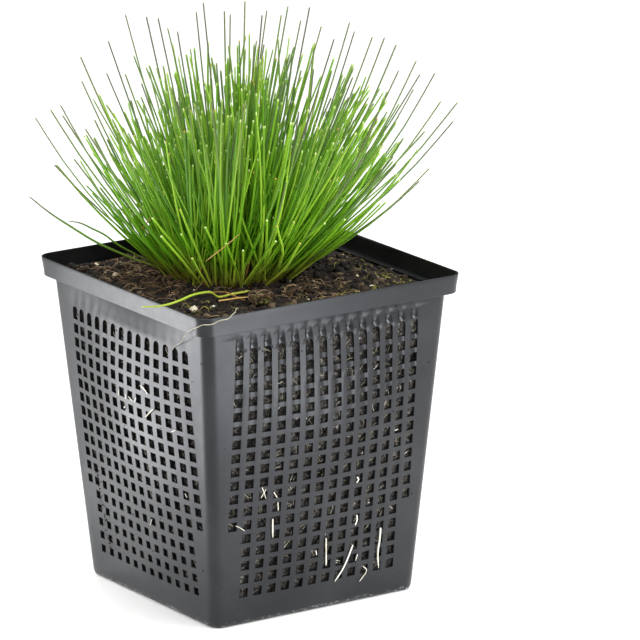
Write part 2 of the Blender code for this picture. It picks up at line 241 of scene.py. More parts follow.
@dataclass(frozen=True)
class MoistPeat(Finish):
    """Moist milled peat: nearly black in its pits, warm brown where crumbs dry, with a crumbly grain."""

    name: str = "moist milled peat"
    slot: str = "peat_soil"
    colour: str = "#2a1f17"
    roughness: float = 0.88
    ior: float = 1.40
    crumb_mm: float = 2.2
    grain_mm: float = 0.45
    stain_mm: float = 9.0
    mottle_mm: float = 1.1

    def draw(self, tree: bpy.types.NodeTree, shader: bpy.types.Node, place: bpy.types.NodeSocket) -> None:
        """Crumb-sized colour steps, slow damp stains and a grainy bump.

        Args:
            tree: The material's node tree.
            shader: Its Principled node.
            place: Object coordinates.
        """
        crumbs = add_node(tree, "ShaderNodeTexNoise",
                          {"Vector": place, "Scale": per_size(self.crumb_mm), "Detail": 6.0, "Roughness": 0.68})
        shades = add_node(tree, "ShaderNodeValToRGB", {"Fac": crumbs.outputs["Fac"]},
                          stops=[(0.30, "#080605"), (0.44, "#16100c"), (0.56, "#281d15"), (0.66, "#3d2d20"),
                                 (0.76, "#5f4835")])
        stain = add_node(tree, "ShaderNodeTexNoise",
                         {"Vector": place, "Scale": per_size(self.stain_mm), "Detail": 2.0})
        damp = add_node(tree, "ShaderNodeMapRange",
                        {"Value": stain.outputs["Fac"], "From Min": 0.38, "From Max": 0.62,
                         "To Min": 0.0, "To Max": 0.55})
        mixed = add_node(tree, "ShaderNodeMix", {"Factor": damp.outputs["Result"], "A": shades.outputs["Color"],
                                                 "B": linear("#16110d")}, data_type="RGBA")
        height = add_node(tree, "ShaderNodeSeparateXYZ", {"Vector": place}).outputs["Z"]
        buried = add_node(tree, "ShaderNodeMapRange", {"Value": height, "From Min": 105.0 * MM,
                                                       "From Max": 110.0 * MM, "To Min": 0.85, "To Max": 0.0})
        mottle = add_node(tree, "ShaderNodeTexNoise",
                          {"Vector": place, "Scale": per_size(self.mottle_mm), "Detail": 5.0, "Roughness": 0.75})
        sides = add_node(tree, "ShaderNodeValToRGB", {"Fac": mottle.outputs["Fac"]},
                         stops=[(0.38, "#090909"), (0.46, "#1c1c1b"), (0.53, "#3b3936"), (0.60, "#68655f"),
                                (0.69, "#b0aca3")])
        wet = add_node(tree, "ShaderNodeMix", {"Factor": buried.outputs["Result"], "A": mixed.outputs["Result"],
                                               "B": sides.outputs["Color"]}, data_type="RGBA")
        tree.links.new(wet.outputs["Result"], shader.inputs["Base Color"])
        grain = add_node(tree, "ShaderNodeTexNoise",
                         {"Vector": place, "Scale": per_size(self.grain_mm), "Detail": 5.0, "Roughness": 0.7})
        rough = add_node(tree, "ShaderNodeMath", {0: grain.outputs["Fac"], 1: crumbs.outputs["Fac"]},
                         operation="ADD")
        relief = add_node(tree, "ShaderNodeBump", {"Height": rough.outputs[0], "Strength": 0.9,
                                                   "Distance": 0.6 * MM})
        tree.links.new(relief.outputs["Normal"], shader.inputs["Normal"])


@dataclass(frozen=True)
class TonedFinish(Finish):
    """A finish whose copies differ: each strand or grain carries its own tone from dark to light."""

    stops: tuple[tuple[float, str], ...] = ((0.0, "#000000"), (1.0, "#ffffff"))
    mottle_mm: float = 1.0

    def draw(self, tree: bpy.types.NodeTree, shader: bpy.types.Node, place: bpy.types.NodeSocket) -> None:
        """A ramp over each copy's own tone, with a fine mottle on it.

        Args:
            tree: The material's node tree.
            shader: Its Principled node.
            place: Object coordinates.
        """
        tone = add_node(tree, "ShaderNodeAttribute", attribute_name="tone").outputs["Fac"]
        mottle = add_node(tree, "ShaderNodeTexNoise",
                          {"Vector": place, "Scale": per_size(self.mottle_mm), "Detail": 3.0})
        spread = add_node(tree, "ShaderNodeMapRange",
                          {"Value": mottle.outputs["Fac"], "From Min": 0.3, "From Max": 0.7,
                           "To Min": -0.16, "To Max": 0.16})
        mixed = add_node(tree, "ShaderNodeMath", {0: tone, 1: spread.outputs["Result"]}, operation="ADD")
        shades = add_node(tree, "ShaderNodeValToRGB", {"Fac": mixed.outputs[0]}, stops=list(self.stops))
        tree.links.new(shades.outputs["Color"], shader.inputs["Base Color"])
        relief = add_node(tree, "ShaderNodeBump", {"Height": mottle.outputs["Fac"], "Strength": 0.5,
                                                   "Distance": 0.2 * MM})
        tree.links.new(relief.outputs["Normal"], shader.inputs["Normal"])


@dataclass(frozen=True)
class WaxyCulm(Finish):
    """A live grass culm: a waxy yellow-green skin, olive and purple-brown at its foot, duller towards its top,
    grey-green where it is old, and a small pale or rusty bud at its tip."""

    name: str = "waxy green culm"
    slot: str = "green_culm"
    colour: str = "#6aa526"
    roughness: float = 0.48
    ior: float = 1.34
    foot_from: float = 113.0 * MM
    foot_to: float = 131.0 * MM

    def draw(self, tree: bpy.types.NodeTree, shader: bpy.types.Node, place: bpy.types.NodeSocket) -> None:
        """Green by each culm's tone, changed by height over the soil, by age and by place along the culm.

        Args:
            tree: The material's node tree.
            shader: Its Principled node.
            place: Object coordinates.
        """
        tone = add_node(tree, "ShaderNodeAttribute", attribute_name="tone").outputs["Fac"]
        age = add_node(tree, "ShaderNodeAttribute", attribute_name="age").outputs["Fac"]
        along = add_node(tree, "ShaderNodeAttribute", attribute_name="along").outputs["Fac"]
        green = add_node(tree, "ShaderNodeValToRGB", {"Fac": tone},
                         stops=[(0.0, "#387206"), (0.3, "#538f0c"), (0.7, "#78b01a"), (1.0, "#a6d53c")])
        upper = add_node(tree, "ShaderNodeMapRange",
                         {"Value": along, "From Min": 0.3, "From Max": 0.9, "To Min": 0.0, "To Max": 1.0})
        high = add_node(tree, "ShaderNodeMath", {0: upper.outputs["Result"], 1: 0.36}, operation="MULTIPLY")
        cooler = add_node(tree, "ShaderNodeMix", {"Factor": high.outputs[0], "A": green.outputs["Color"],
                                                  "B": linear("#6b9429")}, data_type="RGBA")
        height = add_node(tree, "ShaderNodeSeparateXYZ", {"Vector": place}).outputs["Z"]
        foot = add_node(tree, "ShaderNodeMapRange",
                        {"Value": height, "From Min": self.foot_from, "From Max": self.foot_to,
                         "To Min": 0.8, "To Max": 0.0}, interpolation_type="SMOOTHSTEP")
        stain = add_node(tree, "ShaderNodeValToRGB", {"Fac": tone},
                         stops=[(0.0, "#5a3f28"), (0.4, "#75642a"), (1.0, "#a39a3c")])
        base = add_node(tree, "ShaderNodeMix", {"Factor": foot.outputs["Result"], "A": cooler.outputs["Result"],
                                                "B": stain.outputs["Color"]}, data_type="RGBA")
        blend_share = add_node(tree, "ShaderNodeMath", {0: upper.outputs["Result"], 1: age}, operation="MULTIPLY")
        old = add_node(tree, "ShaderNodeValToRGB", {"Fac": tone},
                       stops=[(0.0, "#4e464b"), (0.3, "#565249"), (0.45, "#5a613a"), (1.0, "#5f6c36")])
        dulled = add_node(tree, "ShaderNodeMix", {"Factor": blend_share.outputs[0], "A": base.outputs["Result"],
                                                  "B": old.outputs["Color"]}, data_type="RGBA")
        bud = add_node(tree, "ShaderNodeMapRange",
                       {"Value": along, "From Min": 0.984, "From Max": 0.992, "To Min": 0.0, "To Max": 0.6})
        fresh = add_node(tree, "ShaderNodeMath", {0: 1.0, 1: age}, operation="SUBTRACT", use_clamp=True)
        shown = add_node(tree, "ShaderNodeMath", {0: bud.outputs["Result"], 1: fresh.outputs[0]},
                         operation="MULTIPLY")
        tips = add_node(tree, "ShaderNodeValToRGB", {"Fac": tone},
                        stops=[(0.03, "#b98a4a"), (0.06, "#8fb43e"), (0.45, "#a3c255"), (0.6, "#d2dd96"), (0.94, "#dfe6b0"),
                               (0.97, "#d0a05c")])
        tipped = add_node(tree, "ShaderNodeMix", {"Factor": shown.outputs[0], "A": dulled.outputs["Result"],
                                                  "B": tips.outputs["Color"]}, data_type="RGBA")
        tree.links.new(tipped.outputs["Result"], shader.inputs["Base Color"])


class Finishes(Enum):
    """The finishes of this object, one for each kind of surface on it."""

    PLASTIC = MouldedPolypropylene()
    PEAT = MoistPeat()
    CULM = WaxyCulm()
    CRUMB = TonedFinish(name="loose peat crumb", slot="peat_soil", colour="#3a2a1e", roughness=0.9, ior=1.4,
                        stops=((0.0, "#0c0806"), (0.4, "#211710"), (0.7, "#362a1f"), (1.0, "#5a4b39")),
                        mottle_mm=0.8)
    FIBRE = TonedFinish(name="dry coir fibre", slot="moss_and_fibre", colour="#8a6f55", roughness=0.75, ior=1.45,
                        stops=((0.0, "#2a1b10"), (0.4, "#54402c"), (0.75, "#85694b"), (1.0, "#b89d78")),
                        mottle_mm=2.5)
    GRAIN = TonedFinish(name="expanded perlite grain", slot="pale_root", colour="#d8cfbb", roughness=0.8,
                        ior=1.45, stops=((0.0, "#8f7a5d"), (0.5, "#c5b596"), (1.0, "#efe9dc")), mottle_mm=0.7)
    MOSS = TonedFinish(name="dry moss leaf", slot="moss_and_fibre", colour="#6b6a3a", roughness=0.8, ior=1.4,
                       stops=((0.0, "#26240f"), (0.5, "#4e4a22"), (1.0, "#8a8140")), mottle_mm=1.5)
    STRAW = TonedFinish(name="dry straw culm", slot="straw_culm", colour="#b08a4a", roughness=0.6, ior=1.45,
                        stops=((0.0, "#5a3e1e"), (0.5, "#936830"), (1.0, "#c8a25c")), mottle_mm=3.0)
    ROOT_SKIN = TonedFinish(name="pale living root", slot="pale_root", colour="#e5e2d5", roughness=0.5, ior=1.4,
                            stops=((0.0, "#5e5a48"), (0.4, "#a39d88"), (0.75, "#d6d2c4"), (1.0, "#f3f2ec")),
                            mottle_mm=3.0)


# Meshes that many copies share

def catmull_rom(points: np.ndarray, stations: np.ndarray) -> np.ndarray:
    """Points on a smooth curve through given points.

    Args:
        points: The curve's own points, one a row.
        stations: Places along the curve, from 0 to 1.

    Returns:
        One row of coordinates for each station.
    """
    if len(points) == 2:
        return points[0] + (points[1] - points[0]) * stations[:, None]
    ends = np.vstack([2 * points[0] - points[1], points, 2 * points[-1] - points[-2]])
    place = stations * (len(points) - 1)
    first = np.minimum(place.astype(int), len(points) - 2)
    t = (place - first)[:, None]
    a, b, c, d = (ends[first + k] for k in range(4))
    return 0.5 * (2 * b + (c - a) * t + (2 * a - 5 * b + 4 * c - d) * t ** 2 + (3 * b - a - 3 * c + d) * t ** 3)


def repeated(form: bmesh.types.BMesh, count: int, name: str) -> bpy.types.Mesh:
    """A mesh of many copies of one form, made by an array.

    Args:
        form: The form. It is freed.
        count: How many copies.
        name: The new mesh's name.

    Returns:
        The mesh, with the copies one after another in its vertex list.
    """
    seed_mesh = bpy.data.meshes.new(name + "_form")
    form.to_mesh(seed_mesh)
    form.free()
    seed = bpy.data.objects.new(name + "_form", seed_mesh)
    bpy.context.scene.collection.objects.link(seed)
    array = seed.modifiers.new("copies", "ARRAY")
    array.count = count
    array.use_relative_offset = False
    array.use_constant_offset = False
    bpy.context.view_layer.update()
    graph = bpy.context.evaluated_depsgraph_get()
    mesh = bpy.data.meshes.new_from_object(seed.evaluated_get(graph))
    mesh.name = name
    bpy.data.objects.remove(seed, do_unlink=True)
    bpy.data.meshes.remove(seed_mesh)
    return mesh


def set_attribute(mesh: bpy.types.Mesh, name: str, values: np.ndarray) -> None:
    """Stores one number for each vertex of a mesh under a name."""
    layer = mesh.attributes.new(name, "FLOAT", "POINT")
    layer.data.foreach_set("value", np.ascontiguousarray(values, dtype=np.float32).ravel())


def link_piece(name: str, mesh: bpy.types.Mesh) -> bpy.types.Object:
    """Makes an object for a mesh and puts it in the scene."""
    piece = bpy.data.objects.new(name, mesh)
    bpy.context.scene.collection.objects.link(piece)
    return piece


def finish_piece(piece: bpy.types.Object, finish: Finishes, *nodes: str) -> None:
    """Dresses a piece, puts it on the root body and lets it stand for CAD nodes.

    Args:
        piece: The finished mesh object.
        finish: Its finish.
        nodes: The CAD nodes that it stands for.
    """
    finish.value.dress(piece)
    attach(piece, ROOT)
    if nodes:
        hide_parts(*nodes)
    LOG.info("%s: %d faces, %s", piece.name, len(piece.data.polygons), finish.value.name)


def upward_order(face: bmesh.types.BMFace) -> float:
    """A number that grows from band to band up a form, and round it within each band."""
    centre = face.calc_center_median()
    return 8.0 * centre.z + math.atan2(centre.y, centre.x)


@dataclass
class Strand:
    """One round strand: the points it passes, its thickness, its shade and its age."""

    points: np.ndarray
    radius: float
    tone: float = 0.5
    age: float = 0.0


@dataclass(frozen=True)
class StrandForm:
    """The tube that every strand of a piece is bent from."""

    sides: int
    stations: tuple[float, ...]
    widths: tuple[float, ...]

    def tube(self) -> bmesh.types.BMesh:
        """Extrudes a ring of the strand's sides once for each station, and closes both ends.

        Returns:
            A tube of about unit radius whose height counts its stations.
        """
        bm = bmesh.new()
        bmesh.ops.create_circle(bm, cap_ends=False, segments=self.sides, radius=self.widths[0])
        loop = bm.edges[:]
        foot = loop
        for width, before in zip(self.widths[1:], self.widths):
            grown = bmesh.ops.extrude_edge_only(bm, edges=loop)["geom"]
            ring = [item for item in grown if isinstance(item, bmesh.types.BMVert)]
            fresh = set(ring)
            loop = [item for item in grown if isinstance(item, bmesh.types.BMEdge) and fresh.issuperset(item.verts)]
            bmesh.ops.translate(bm, vec=(0.0, 0.0, 1.0), verts=ring)
            bmesh.ops.scale(bm, vec=(width / before, width / before, 1.0), verts=ring)
        bmesh.ops.edgeloop_fill(bm, edges=loop)
        bmesh.ops.edgeloop_fill(bm, edges=foot)
        bmesh.ops.recalc_face_normals(bm, faces=bm.faces[:])
        # An extrusion lists its faces in another order each run, so they are put in one order.
        bm.faces.sort(key=upward_order)
        return bm

    def lay(self, name: str, strands: list[Strand]) -> bpy.types.Object:
        """Bends one copy of the tube along each strand.

        Args:
            name: The new piece's name.
            strands: The strands, in order.

        Returns:
            One mesh object that holds them all, with their tone, age and place along as attributes.
        """
        mesh = repeated(self.tube(), len(strands), name)
        points = len(mesh.vertices) // len(strands)
        flat = np.empty(len(mesh.vertices) * 3)
        mesh.vertices.foreach_get("co", flat)
        form = flat[:points * 3].reshape(points, 3)
        station = np.rint(form[:, 2]).astype(int)
        places = np.array(self.stations)
        route = np.stack([catmull_rom(strand.points, places) for strand in strands])
        along = np.gradient(route, axis=1)
        along /= np.linalg.norm(along, axis=2, keepdims=True)
        least = np.abs(along).max(axis=1).argmin(axis=1)
        across = np.cross(along, np.eye(3)[least][:, None, :])
        across /= np.linalg.norm(across, axis=2, keepdims=True)
        third = np.cross(along, across)
        radius = np.array([strand.radius for strand in strands])[:, None, None]
        shift = form[None, :, 0:1] * across[:, station] + form[None, :, 1:2] * third[:, station]
        mesh.vertices.foreach_set("co", (route[:, station] + radius * shift).ravel())
        set_attribute(mesh, "along", np.tile(places[station], len(strands)))
        set_attribute(mesh, "tone", np.repeat([strand.tone for strand in strands], points))
        set_attribute(mesh, "age", np.repeat([strand.age for strand in strands], points))
        mesh.update()
        mesh.shade_smooth()
        return link_piece(name, mesh)


CULM_FORM = StrandForm(
    5,
    (0.0, 0.09, 0.20, 0.33, 0.47, 0.62, 0.77, 0.91, 0.984, 0.994, 1.0),
    (1.0, 1.0, 0.99, 0.97, 0.94, 0.90, 0.85, 0.79, 0.77, 0.79, 0.48),
)
FIBRE_FORM = StrandForm(4, tuple(i / 9.0 for i in range(10)), (0.6, 1.0, 1.0, 0.95, 0.9, 0.9, 0.8, 0.7, 0.6, 0.3))
ROOT_FORM = StrandForm(6, tuple(i / 15.0 for i in range(16)),
                       (0.8, 1.0, 1.0, 1.04, 0.98, 1.0, 1.03, 0.97, 0.95, 0.97, 0.93, 0.9, 0.9, 0.84, 0.75, 0.35))
LONG_FORM = StrandForm(8, tuple(i / 47.0 for i in range(48)), (1.0,) * 32 + tuple(0.98 - 0.03 * i for i in range(16)))


@dataclass
class Grain:
    """One loose crumb or grain: where it lies, its half sizes and its shade."""

    place: np.ndarray
    size: np.ndarray
    tone: float


@dataclass(frozen=True)
class GrainForm:
    """The rough ball that every grain of a piece is squeezed from."""

    subdivisions: int = 1
    roughness: float = 0.22
    seed: int = 5

    def scatter(self, name: str, grains: list[Grain]) -> bpy.types.Object:
        """Puts one rough, turned copy of the ball at each grain.

        Args:
            name: The new piece's name.
            grains: The grains, in order.

        Returns:
            One mesh object that holds them all, with their tone as an attribute.
        """
        bm = bmesh.new()
        bmesh.ops.create_icosphere(bm, subdivisions=self.subdivisions, radius=1.0)
        mesh = repeated(bm, len(grains), name)
        points = len(mesh.vertices) // len(grains)
        flat = np.empty(len(mesh.vertices) * 3)
        mesh.vertices.foreach_get("co", flat)
        ball = flat.reshape(len(grains), points, 3)
        draw = np.random.default_rng(self.seed)
        ball = ball * (1.0 + draw.uniform(-self.roughness, self.roughness, (len(grains), points, 1)))
        ball = ball * np.stack([grain.size for grain in grains])[:, None, :]
        turn = draw.uniform(0.0, 2.0 * math.pi, len(grains))
        lean = draw.uniform(-0.5, 0.5, len(grains))
        c, s, cl, sl = np.cos(turn), np.sin(turn), np.cos(lean), np.sin(lean)
        x, y, z = ball[..., 0], ball[..., 1], ball[..., 2]
        x, z = x * cl[:, None] + z * sl[:, None], z * cl[:, None] - x * sl[:, None]
        turned = np.stack([x * c[:, None] - y * s[:, None], x * s[:, None] + y * c[:, None], z], axis=-1)
        turned += np.stack([grain.place for grain in grains])[:, None, :]
        mesh.vertices.foreach_set("co", turned.ravel())
        set_attribute(mesh, "tone", np.repeat([grain.tone for grain in grains], points))
        mesh.update()
        mesh.shade_smooth()
        return link_piece(name, mesh)


# The basket

@dataclass
class BasketShell:
    """The basket's outer form: tapered, a little wider one way, with rounded corners, and warped where the peat
    pushes its walls out. Walls are numbered 0 for the one that faces -Y, and on by quarter turns to 3."""

    foot_halves: tuple[float, ...] = (41.85, 43.2, 42.05, 43.2)
    top_halves: tuple[float, ...] = (51.3, 51.95, 51.9, 51.7)
    corner_radius: float = 4.5 * MM

    # How far the walls are pushed out at a row of heights: in the middle, then the lean of the bulge towards the
    # wall's right end, then its fullness in the quarters, all in millimetres
    heights: tuple[float, ...] = (0.0, 14.0, 28.0, 42.0, 56.0, 68.0, 78.0, 87.0, 95.0, 104.0, 112.0)
    bulges: tuple[tuple[tuple[float, ...], ...], ...] = (
        ((0.0, 1.8, 2.8, 3.6, 4.35, 4.85, 4.75, 4.1, 3.1, 2.05, 0.0),
         (0.0, -0.2, -0.2, 0.1, 0.35, 0.5, 0.3, 0.1, 0.2, 0.3, 0.0),
         (0.0, -0.5, -1.0, -1.4, -1.5, -1.6, -1.6, -1.3, -0.6, -0.2, 0.0)),
        ((0.0, 1.4, 2.3, 3.0, 3.8, 4.4, 4.5, 4.0, 3.0, 2.0, 0.0), (0.0,) * 11, (0.0,) * 11),
        ((0.0, 1.4, 2.3, 3.0, 3.8, 4.4, 4.5, 4.0, 3.0, 2.0, 0.0), (0.0,) * 11, (0.0,) * 11),
        ((0.0, 1.0, 1.7, 2.4, 3.2, 4.0, 4.25, 3.9, 3.0, 2.05, 0.0),
         (0.0, 1.1, 1.4, 1.75, 1.6, 1.45, 1.25, 1.1, 0.9, 0.6, 0.0),
         (0.0, -0.4, -0.3, -0.3, -0.4, -0.7, -0.7, -0.4, 0.0, 0.2, 0.0)),
    )

    def half(self, side: int, z: float) -> float:
        """How far a wall's face stands from the middle at a height, without its bulge."""
        share = min(max(z / SHOULDER, 0.0), 1.0)
        return (self.foot_halves[side % 4] * (1.0 - share) + self.top_halves[side % 4] * share) * MM

    def ends(self, side: int, z: float, out: float = 0.0, radius: float | None = None) -> tuple[float, float]:
        """Where a wall's flat part ends on its left and right, across the wall.

        Args:
            side: The wall.
            z: Height.
            out: How far outside the body's face the level line runs.
            radius: The corner's radius there, or none for the body's own.

        Returns:
            The two places across the wall.
        """
        corner = self.corner_radius if radius is None else radius
        return -(self.half(side - 1, z) + out - corner), self.half(side + 1, z) + out - corner

    def push(self, side: int, u: float, z: float) -> float:
        """How far the peat pushes a wall out.

        Args:
            side: The wall.
            u: Place across the wall.
            z: Height.

        Returns:
            Metres outwards.
        """
        left, right = self.ends(side, z)
        t = (2.0 * u - left - right) / (right - left)
        middle, lean, full = (float(np.interp(z / MM, self.heights, row)) for row in self.bulges[side % 4])
        return (middle + lean * t + full * t * t) * max(0.0, 1.0 - t * t) * MM

    def turned(self, side: int, x: float, y: float, z: float) -> Vector:
        """Turns a point of the wall that faces -Y round to one of the four sides."""
        c, s = ((1, 0), (0, 1), (-1, 0), (0, -1))[side % 4]
        return Vector((c * x - s * y, s * x + c * y, z))

    def on_wall(self, side: int, u: float, z: float, out: float = 0.0) -> Vector:
        """A point on or off a wall's outer face.

        Args:
            side: The wall.
            u: Place across the wall.
            z: Height.
            out: How far outside the face.

        Returns:
            The point in the row frame.
        """
        return self.turned(side, u, -(self.half(side, z) + self.push(side, u, z) + out), z)

    def on_corner(self, side: int, share: float, z: float, out: float = 0.0, radius: float | None = None) -> Vector:
        """A point of the rounded corner at a wall's right end, for a share of its quarter turn."""
        corner = self.corner_radius if radius is None else radius
        angle = (share - 1.0) * math.pi / 2.0
        across = self.half(side + 1, z) + out - corner + corner * math.cos(angle)
        return self.turned(side, across, -(self.half(side, z) + out - corner) + corner * math.sin(angle), z)


@dataclass
class Level:
    """One level line of the basket: its height, how far it stands outside the body's face, its corner radius,
    and the depth and narrowing of its troughs."""

    z: float
    out: float = 0.0
    radius: float = 4.5 * MM
    trough: float = 0.0
    squeeze: float = 1.0


@dataclass
class MeshBasket:
    """The moulded basket with its fine square holes, the flutes over them and the stepped collar."""

    shell: BasketShell = field(default_factory=BasketShell)
    wall: float = 1.0 * MM
    columns: int = 14
    rows: int = 18
    pitch_across: float = 5.70 * MM
    pitch_up: float = 5.17 * MM
    hole_width: float = 3.35 * MM
    hole_height: float = 3.42 * MM
    second_row_top: float = 96.9 * MM
    shifts: tuple[float, ...] = (-0.55, 0.0, 0.0, 0.8)
    left_arch_drop: float = 1.1 * MM
    left_shrink: float = 0.18
    bar_depth: float = 0.12 * MM
    top_bar_depth: float = 0.45 * MM
    relief: tuple[float, float, float, float] = (1.0, 0.7, 0.7, 0.05)
    short_rows: int = 13
    corner_steps: int = 6
    floor_holes: int = 10
    floor_pitch: float = 6.4 * MM
    floor_hole: float = 3.8 * MM

    def across(self) -> list[tuple[float, float, float]]:
        """The lines of one wall between its ends.

        Returns:
            For each line, its hole's middle, its place from that middle, and its share of the trough.
        """
        half = self.hole_width / 2.0
        shape = ((-1.0, 0.0), (-0.80, 0.55), (-0.42, 0.9), (0.0, 1.0), (0.42, 0.9), (0.80, 0.55), (1.0, 0.0))
        lines = []
        for column in range(self.columns):
            middle = (column - (self.columns - 1) / 2.0) * self.pitch_across
            lines += [(middle, share * half, depth) for share, depth in shape]
        return lines

    def levels(self) -> list[Level]:
        """The basket's level lines from its foot to its rim."""
        lines = [Level(0.0, -2.0 * MM, 2.5 * MM), Level(0.25 * MM, -1.1 * MM, 3.4 * MM),
                 Level(0.9 * MM, -0.3 * MM, 4.2 * MM), Level(2.1 * MM), Level(6.5 * MM)]
        for row in range(self.rows, 0, -1):
            top = self.second_row_top + (2 - row) * self.pitch_up
            depth = self.bar_depth + self.top_bar_depth * max(0.0, 1.0 - (row - 1) / 5.0)
            # Each crossbar's lower edge stands a little further out than its upper edge.
            lines.append(Level(top - self.hole_height, trough=0.0 if row == self.rows else 1.3 * depth))
            if row > 1:
                lines.append(Level(top, trough=0.7 * depth))
        for z, depth, squeeze in ((102.9, 0.5, 1.0), (103.7, 0.42, 1.0), (104.5, 0.3, 1.0), (105.3, 0.74, 1.0),
                                  (106.2, 1.12, 1.0), (107.1, 1.16, 0.96), (108.1, 0.66, 0.88), (109.2, 0.2, 0.72),
                                  (110.4, 0.0, 0.5)):
            lines.append(Level(z * MM, trough=depth * MM, squeeze=squeeze))
        for z, out, radius in ((111.6, 0.0, 4.5), (112.0, 0.05, 4.5), (112.03, 3.0, 5.2), (112.15, 3.12, 5.3),
                               (114.6, 3.3, 5.3), (117.0, 3.6, 5.3), (118.6, 3.8, 5.3), (118.9, 3.74, 5.2),
                               (119.0, 3.52, 5.0)):
            lines.append(Level(z * MM, out * MM, radius * MM))
        return lines

    def is_hole(self, cell: int, row: int, level: int) -> bool:
        """Whether one cell of the wrapped grid is open.

        Args:
            cell: The cell's number across a wall, counted from the first hole's left edge.
            row: The level line under it, counted from the lowest row of holes.
            level: How many level lines the rows of holes take up. Not used.

        Returns:
            True for a cell in a hole.
        """
        column, part = divmod(cell, 7)
        if part == 6 or row < 0 or column >= self.columns:
            return False
        top_line = 2 * self.rows - 2
        if row < top_line:
            up_from_top = self.rows - row // 2
            outer = column in (0, self.columns - 1)
            return row % 2 == 0 and not (outer and up_from_top > self.short_rows)
        return abs(part - 2.5) <= {0: 2.5, 1: 1.5, 2: 0.5}.get(row - top_line, -1.0)

    def build(self) -> bpy.types.Object:
        """Wraps a grid round the shell, opens the holes, adds the floor and gives it all its wall.

        Returns:
            The basket piece.
        """
        lines, levels = self.across(), self.levels()
        first_row = 5
        per_side = len(lines) + 1 + self.corner_steps
        columns, rows = 4 * per_side, len(levels) - 1
        bm = bmesh.new()
        bmesh.ops.create_grid(bm, x_segments=columns, y_segments=rows, size=1.0)
        spot = {v: (round((v.co.x + 1.0) / 2.0 * columns), round((v.co.y + 1.0) / 2.0 * rows)) for v in bm.verts}
        holes = []
        for face in bm.faces:
            column, row = (min(spot[v][i] for v in face.verts) for i in (0, 1))
            line = column % per_side
            if 1 <= line <= len(lines) and self.is_hole(line - 1, row - first_row, rows):
                holes.append(face)
        for vert, (column, row) in spot.items():
            vert.co = self.place(column % columns, row, lines, levels, per_side)
        bmesh.ops.delete(bm, geom=holes, context="FACES")
        bmesh.ops.remove_doubles(bm, verts=bm.verts[:], dist=0.002 * MM)
        self.add_floor(bm)
        bmesh.ops.recalc_face_normals(bm, faces=bm.faces[:])
        mesh = bpy.data.meshes.new("mesh_basket")
        bm.to_mesh(mesh)
        bm.free()
        basket = link_piece("mesh_basket", mesh)
        walled = basket.modifiers.new("moulded wall", "SOLIDIFY")
        walled.thickness = self.wall
        walled.offset = -1.0
        walled.use_even_offset = True
        apply_modifiers(basket, 32.0)
        finish_piece(basket, Finishes.PLASTIC, "mesh_pot")
        return basket

    def place(self, column: int, row: int, lines: list[tuple[float, float, float]], levels: list[Level],
              per_side: int) -> Vector:
        """Where one crossing of the wrapped grid goes on the basket's outer face.

        Args:
            column: The crossing's number round the basket.
            row: Its level line.
            lines: One wall's lines between its ends.
            levels: The level lines.
            per_side: Crossings in a quarter turn.

        Returns:
            The point in the row frame.
        """
        side, line = divmod(column, per_side)
        level = levels[row]
        z = level.z
        left, right = self.shell.ends(side, z, level.out, level.radius)
        if line > len(lines):
            share = (line - len(lines) - 1) / self.corner_steps
            return self.shell.on_corner(side, share, z, level.out, level.radius)
        if line == 0:
            return self.shell.turned(side, left, -self.shell.half(side, z) - level.out, z)
        middle, offset, share = lines[line - 1]
        u = middle + offset * level.squeeze
        narrow = min(abs(offset) / (self.hole_width / 2.0), 1.0)
        # The top row's holes end in round arches.
        if abs(z - 103.7 * MM) < 0.01 * MM and 0.2 < narrow < 0.5:
            u, z = middle + offset * 1.45, z + 0.55 * MM
        elif abs(z - 103.7 * MM) < 0.01 * MM and 0.5 < narrow < 0.9:
            z += 0.45 * MM
        elif abs(z - 102.9 * MM) < 0.01 * MM and 0.5 < narrow < 0.9:
            u, z = middle + offset * 1.14, z + 0.72 * MM
        elif abs(z - 104.5 * MM) < 0.01 * MM and narrow < 0.2:
            z += 0.15 * MM
        is_outer = abs(middle) > (self.columns / 2.0 - 1.0) * self.pitch_across
        if is_outer and z < self.second_row_top - (self.short_rows - 1.5) * self.pitch_up:
            share = 0.0
        if side == 3 and is_outer and u < 0.0:
            u += 0.8 * MM
        if side == 3 and 5 <= row < 4 + 2 * self.rows:
            # The left wall's holes get smaller towards its foot.
            less = self.left_shrink * min(1.0, max(0.0, (62.0 * MM - z) / (45.0 * MM)))
            u -= offset * less
            z += (0.5 if row % 2 else -0.5) * self.hole_height * less
        if side == 3 and z > 102.5 * MM:
            z -= self.left_arch_drop * min(1.0, max(0.0, (109.8 * MM - z) / (5.0 * MM)))
        u += self.shifts[side] * MM
        # The outer columns crowd together where the wall narrows towards the foot.
        keep = 35.0 * MM
        if abs(u) > keep:
            end = right if u > 0.0 else -left
            room = min(1.0, (end - 0.8 * MM - keep) / (39.6 * MM - keep))
            u = math.copysign(keep + (abs(u) - keep) * room, u)
        face = self.shell.half(side, z) + level.out
        push = self.shell.push(side, u, z) if z < SHOULDER else 0.0
        return self.shell.turned(side, u, -(face + push - level.trough * share * self.relief[side]), z)

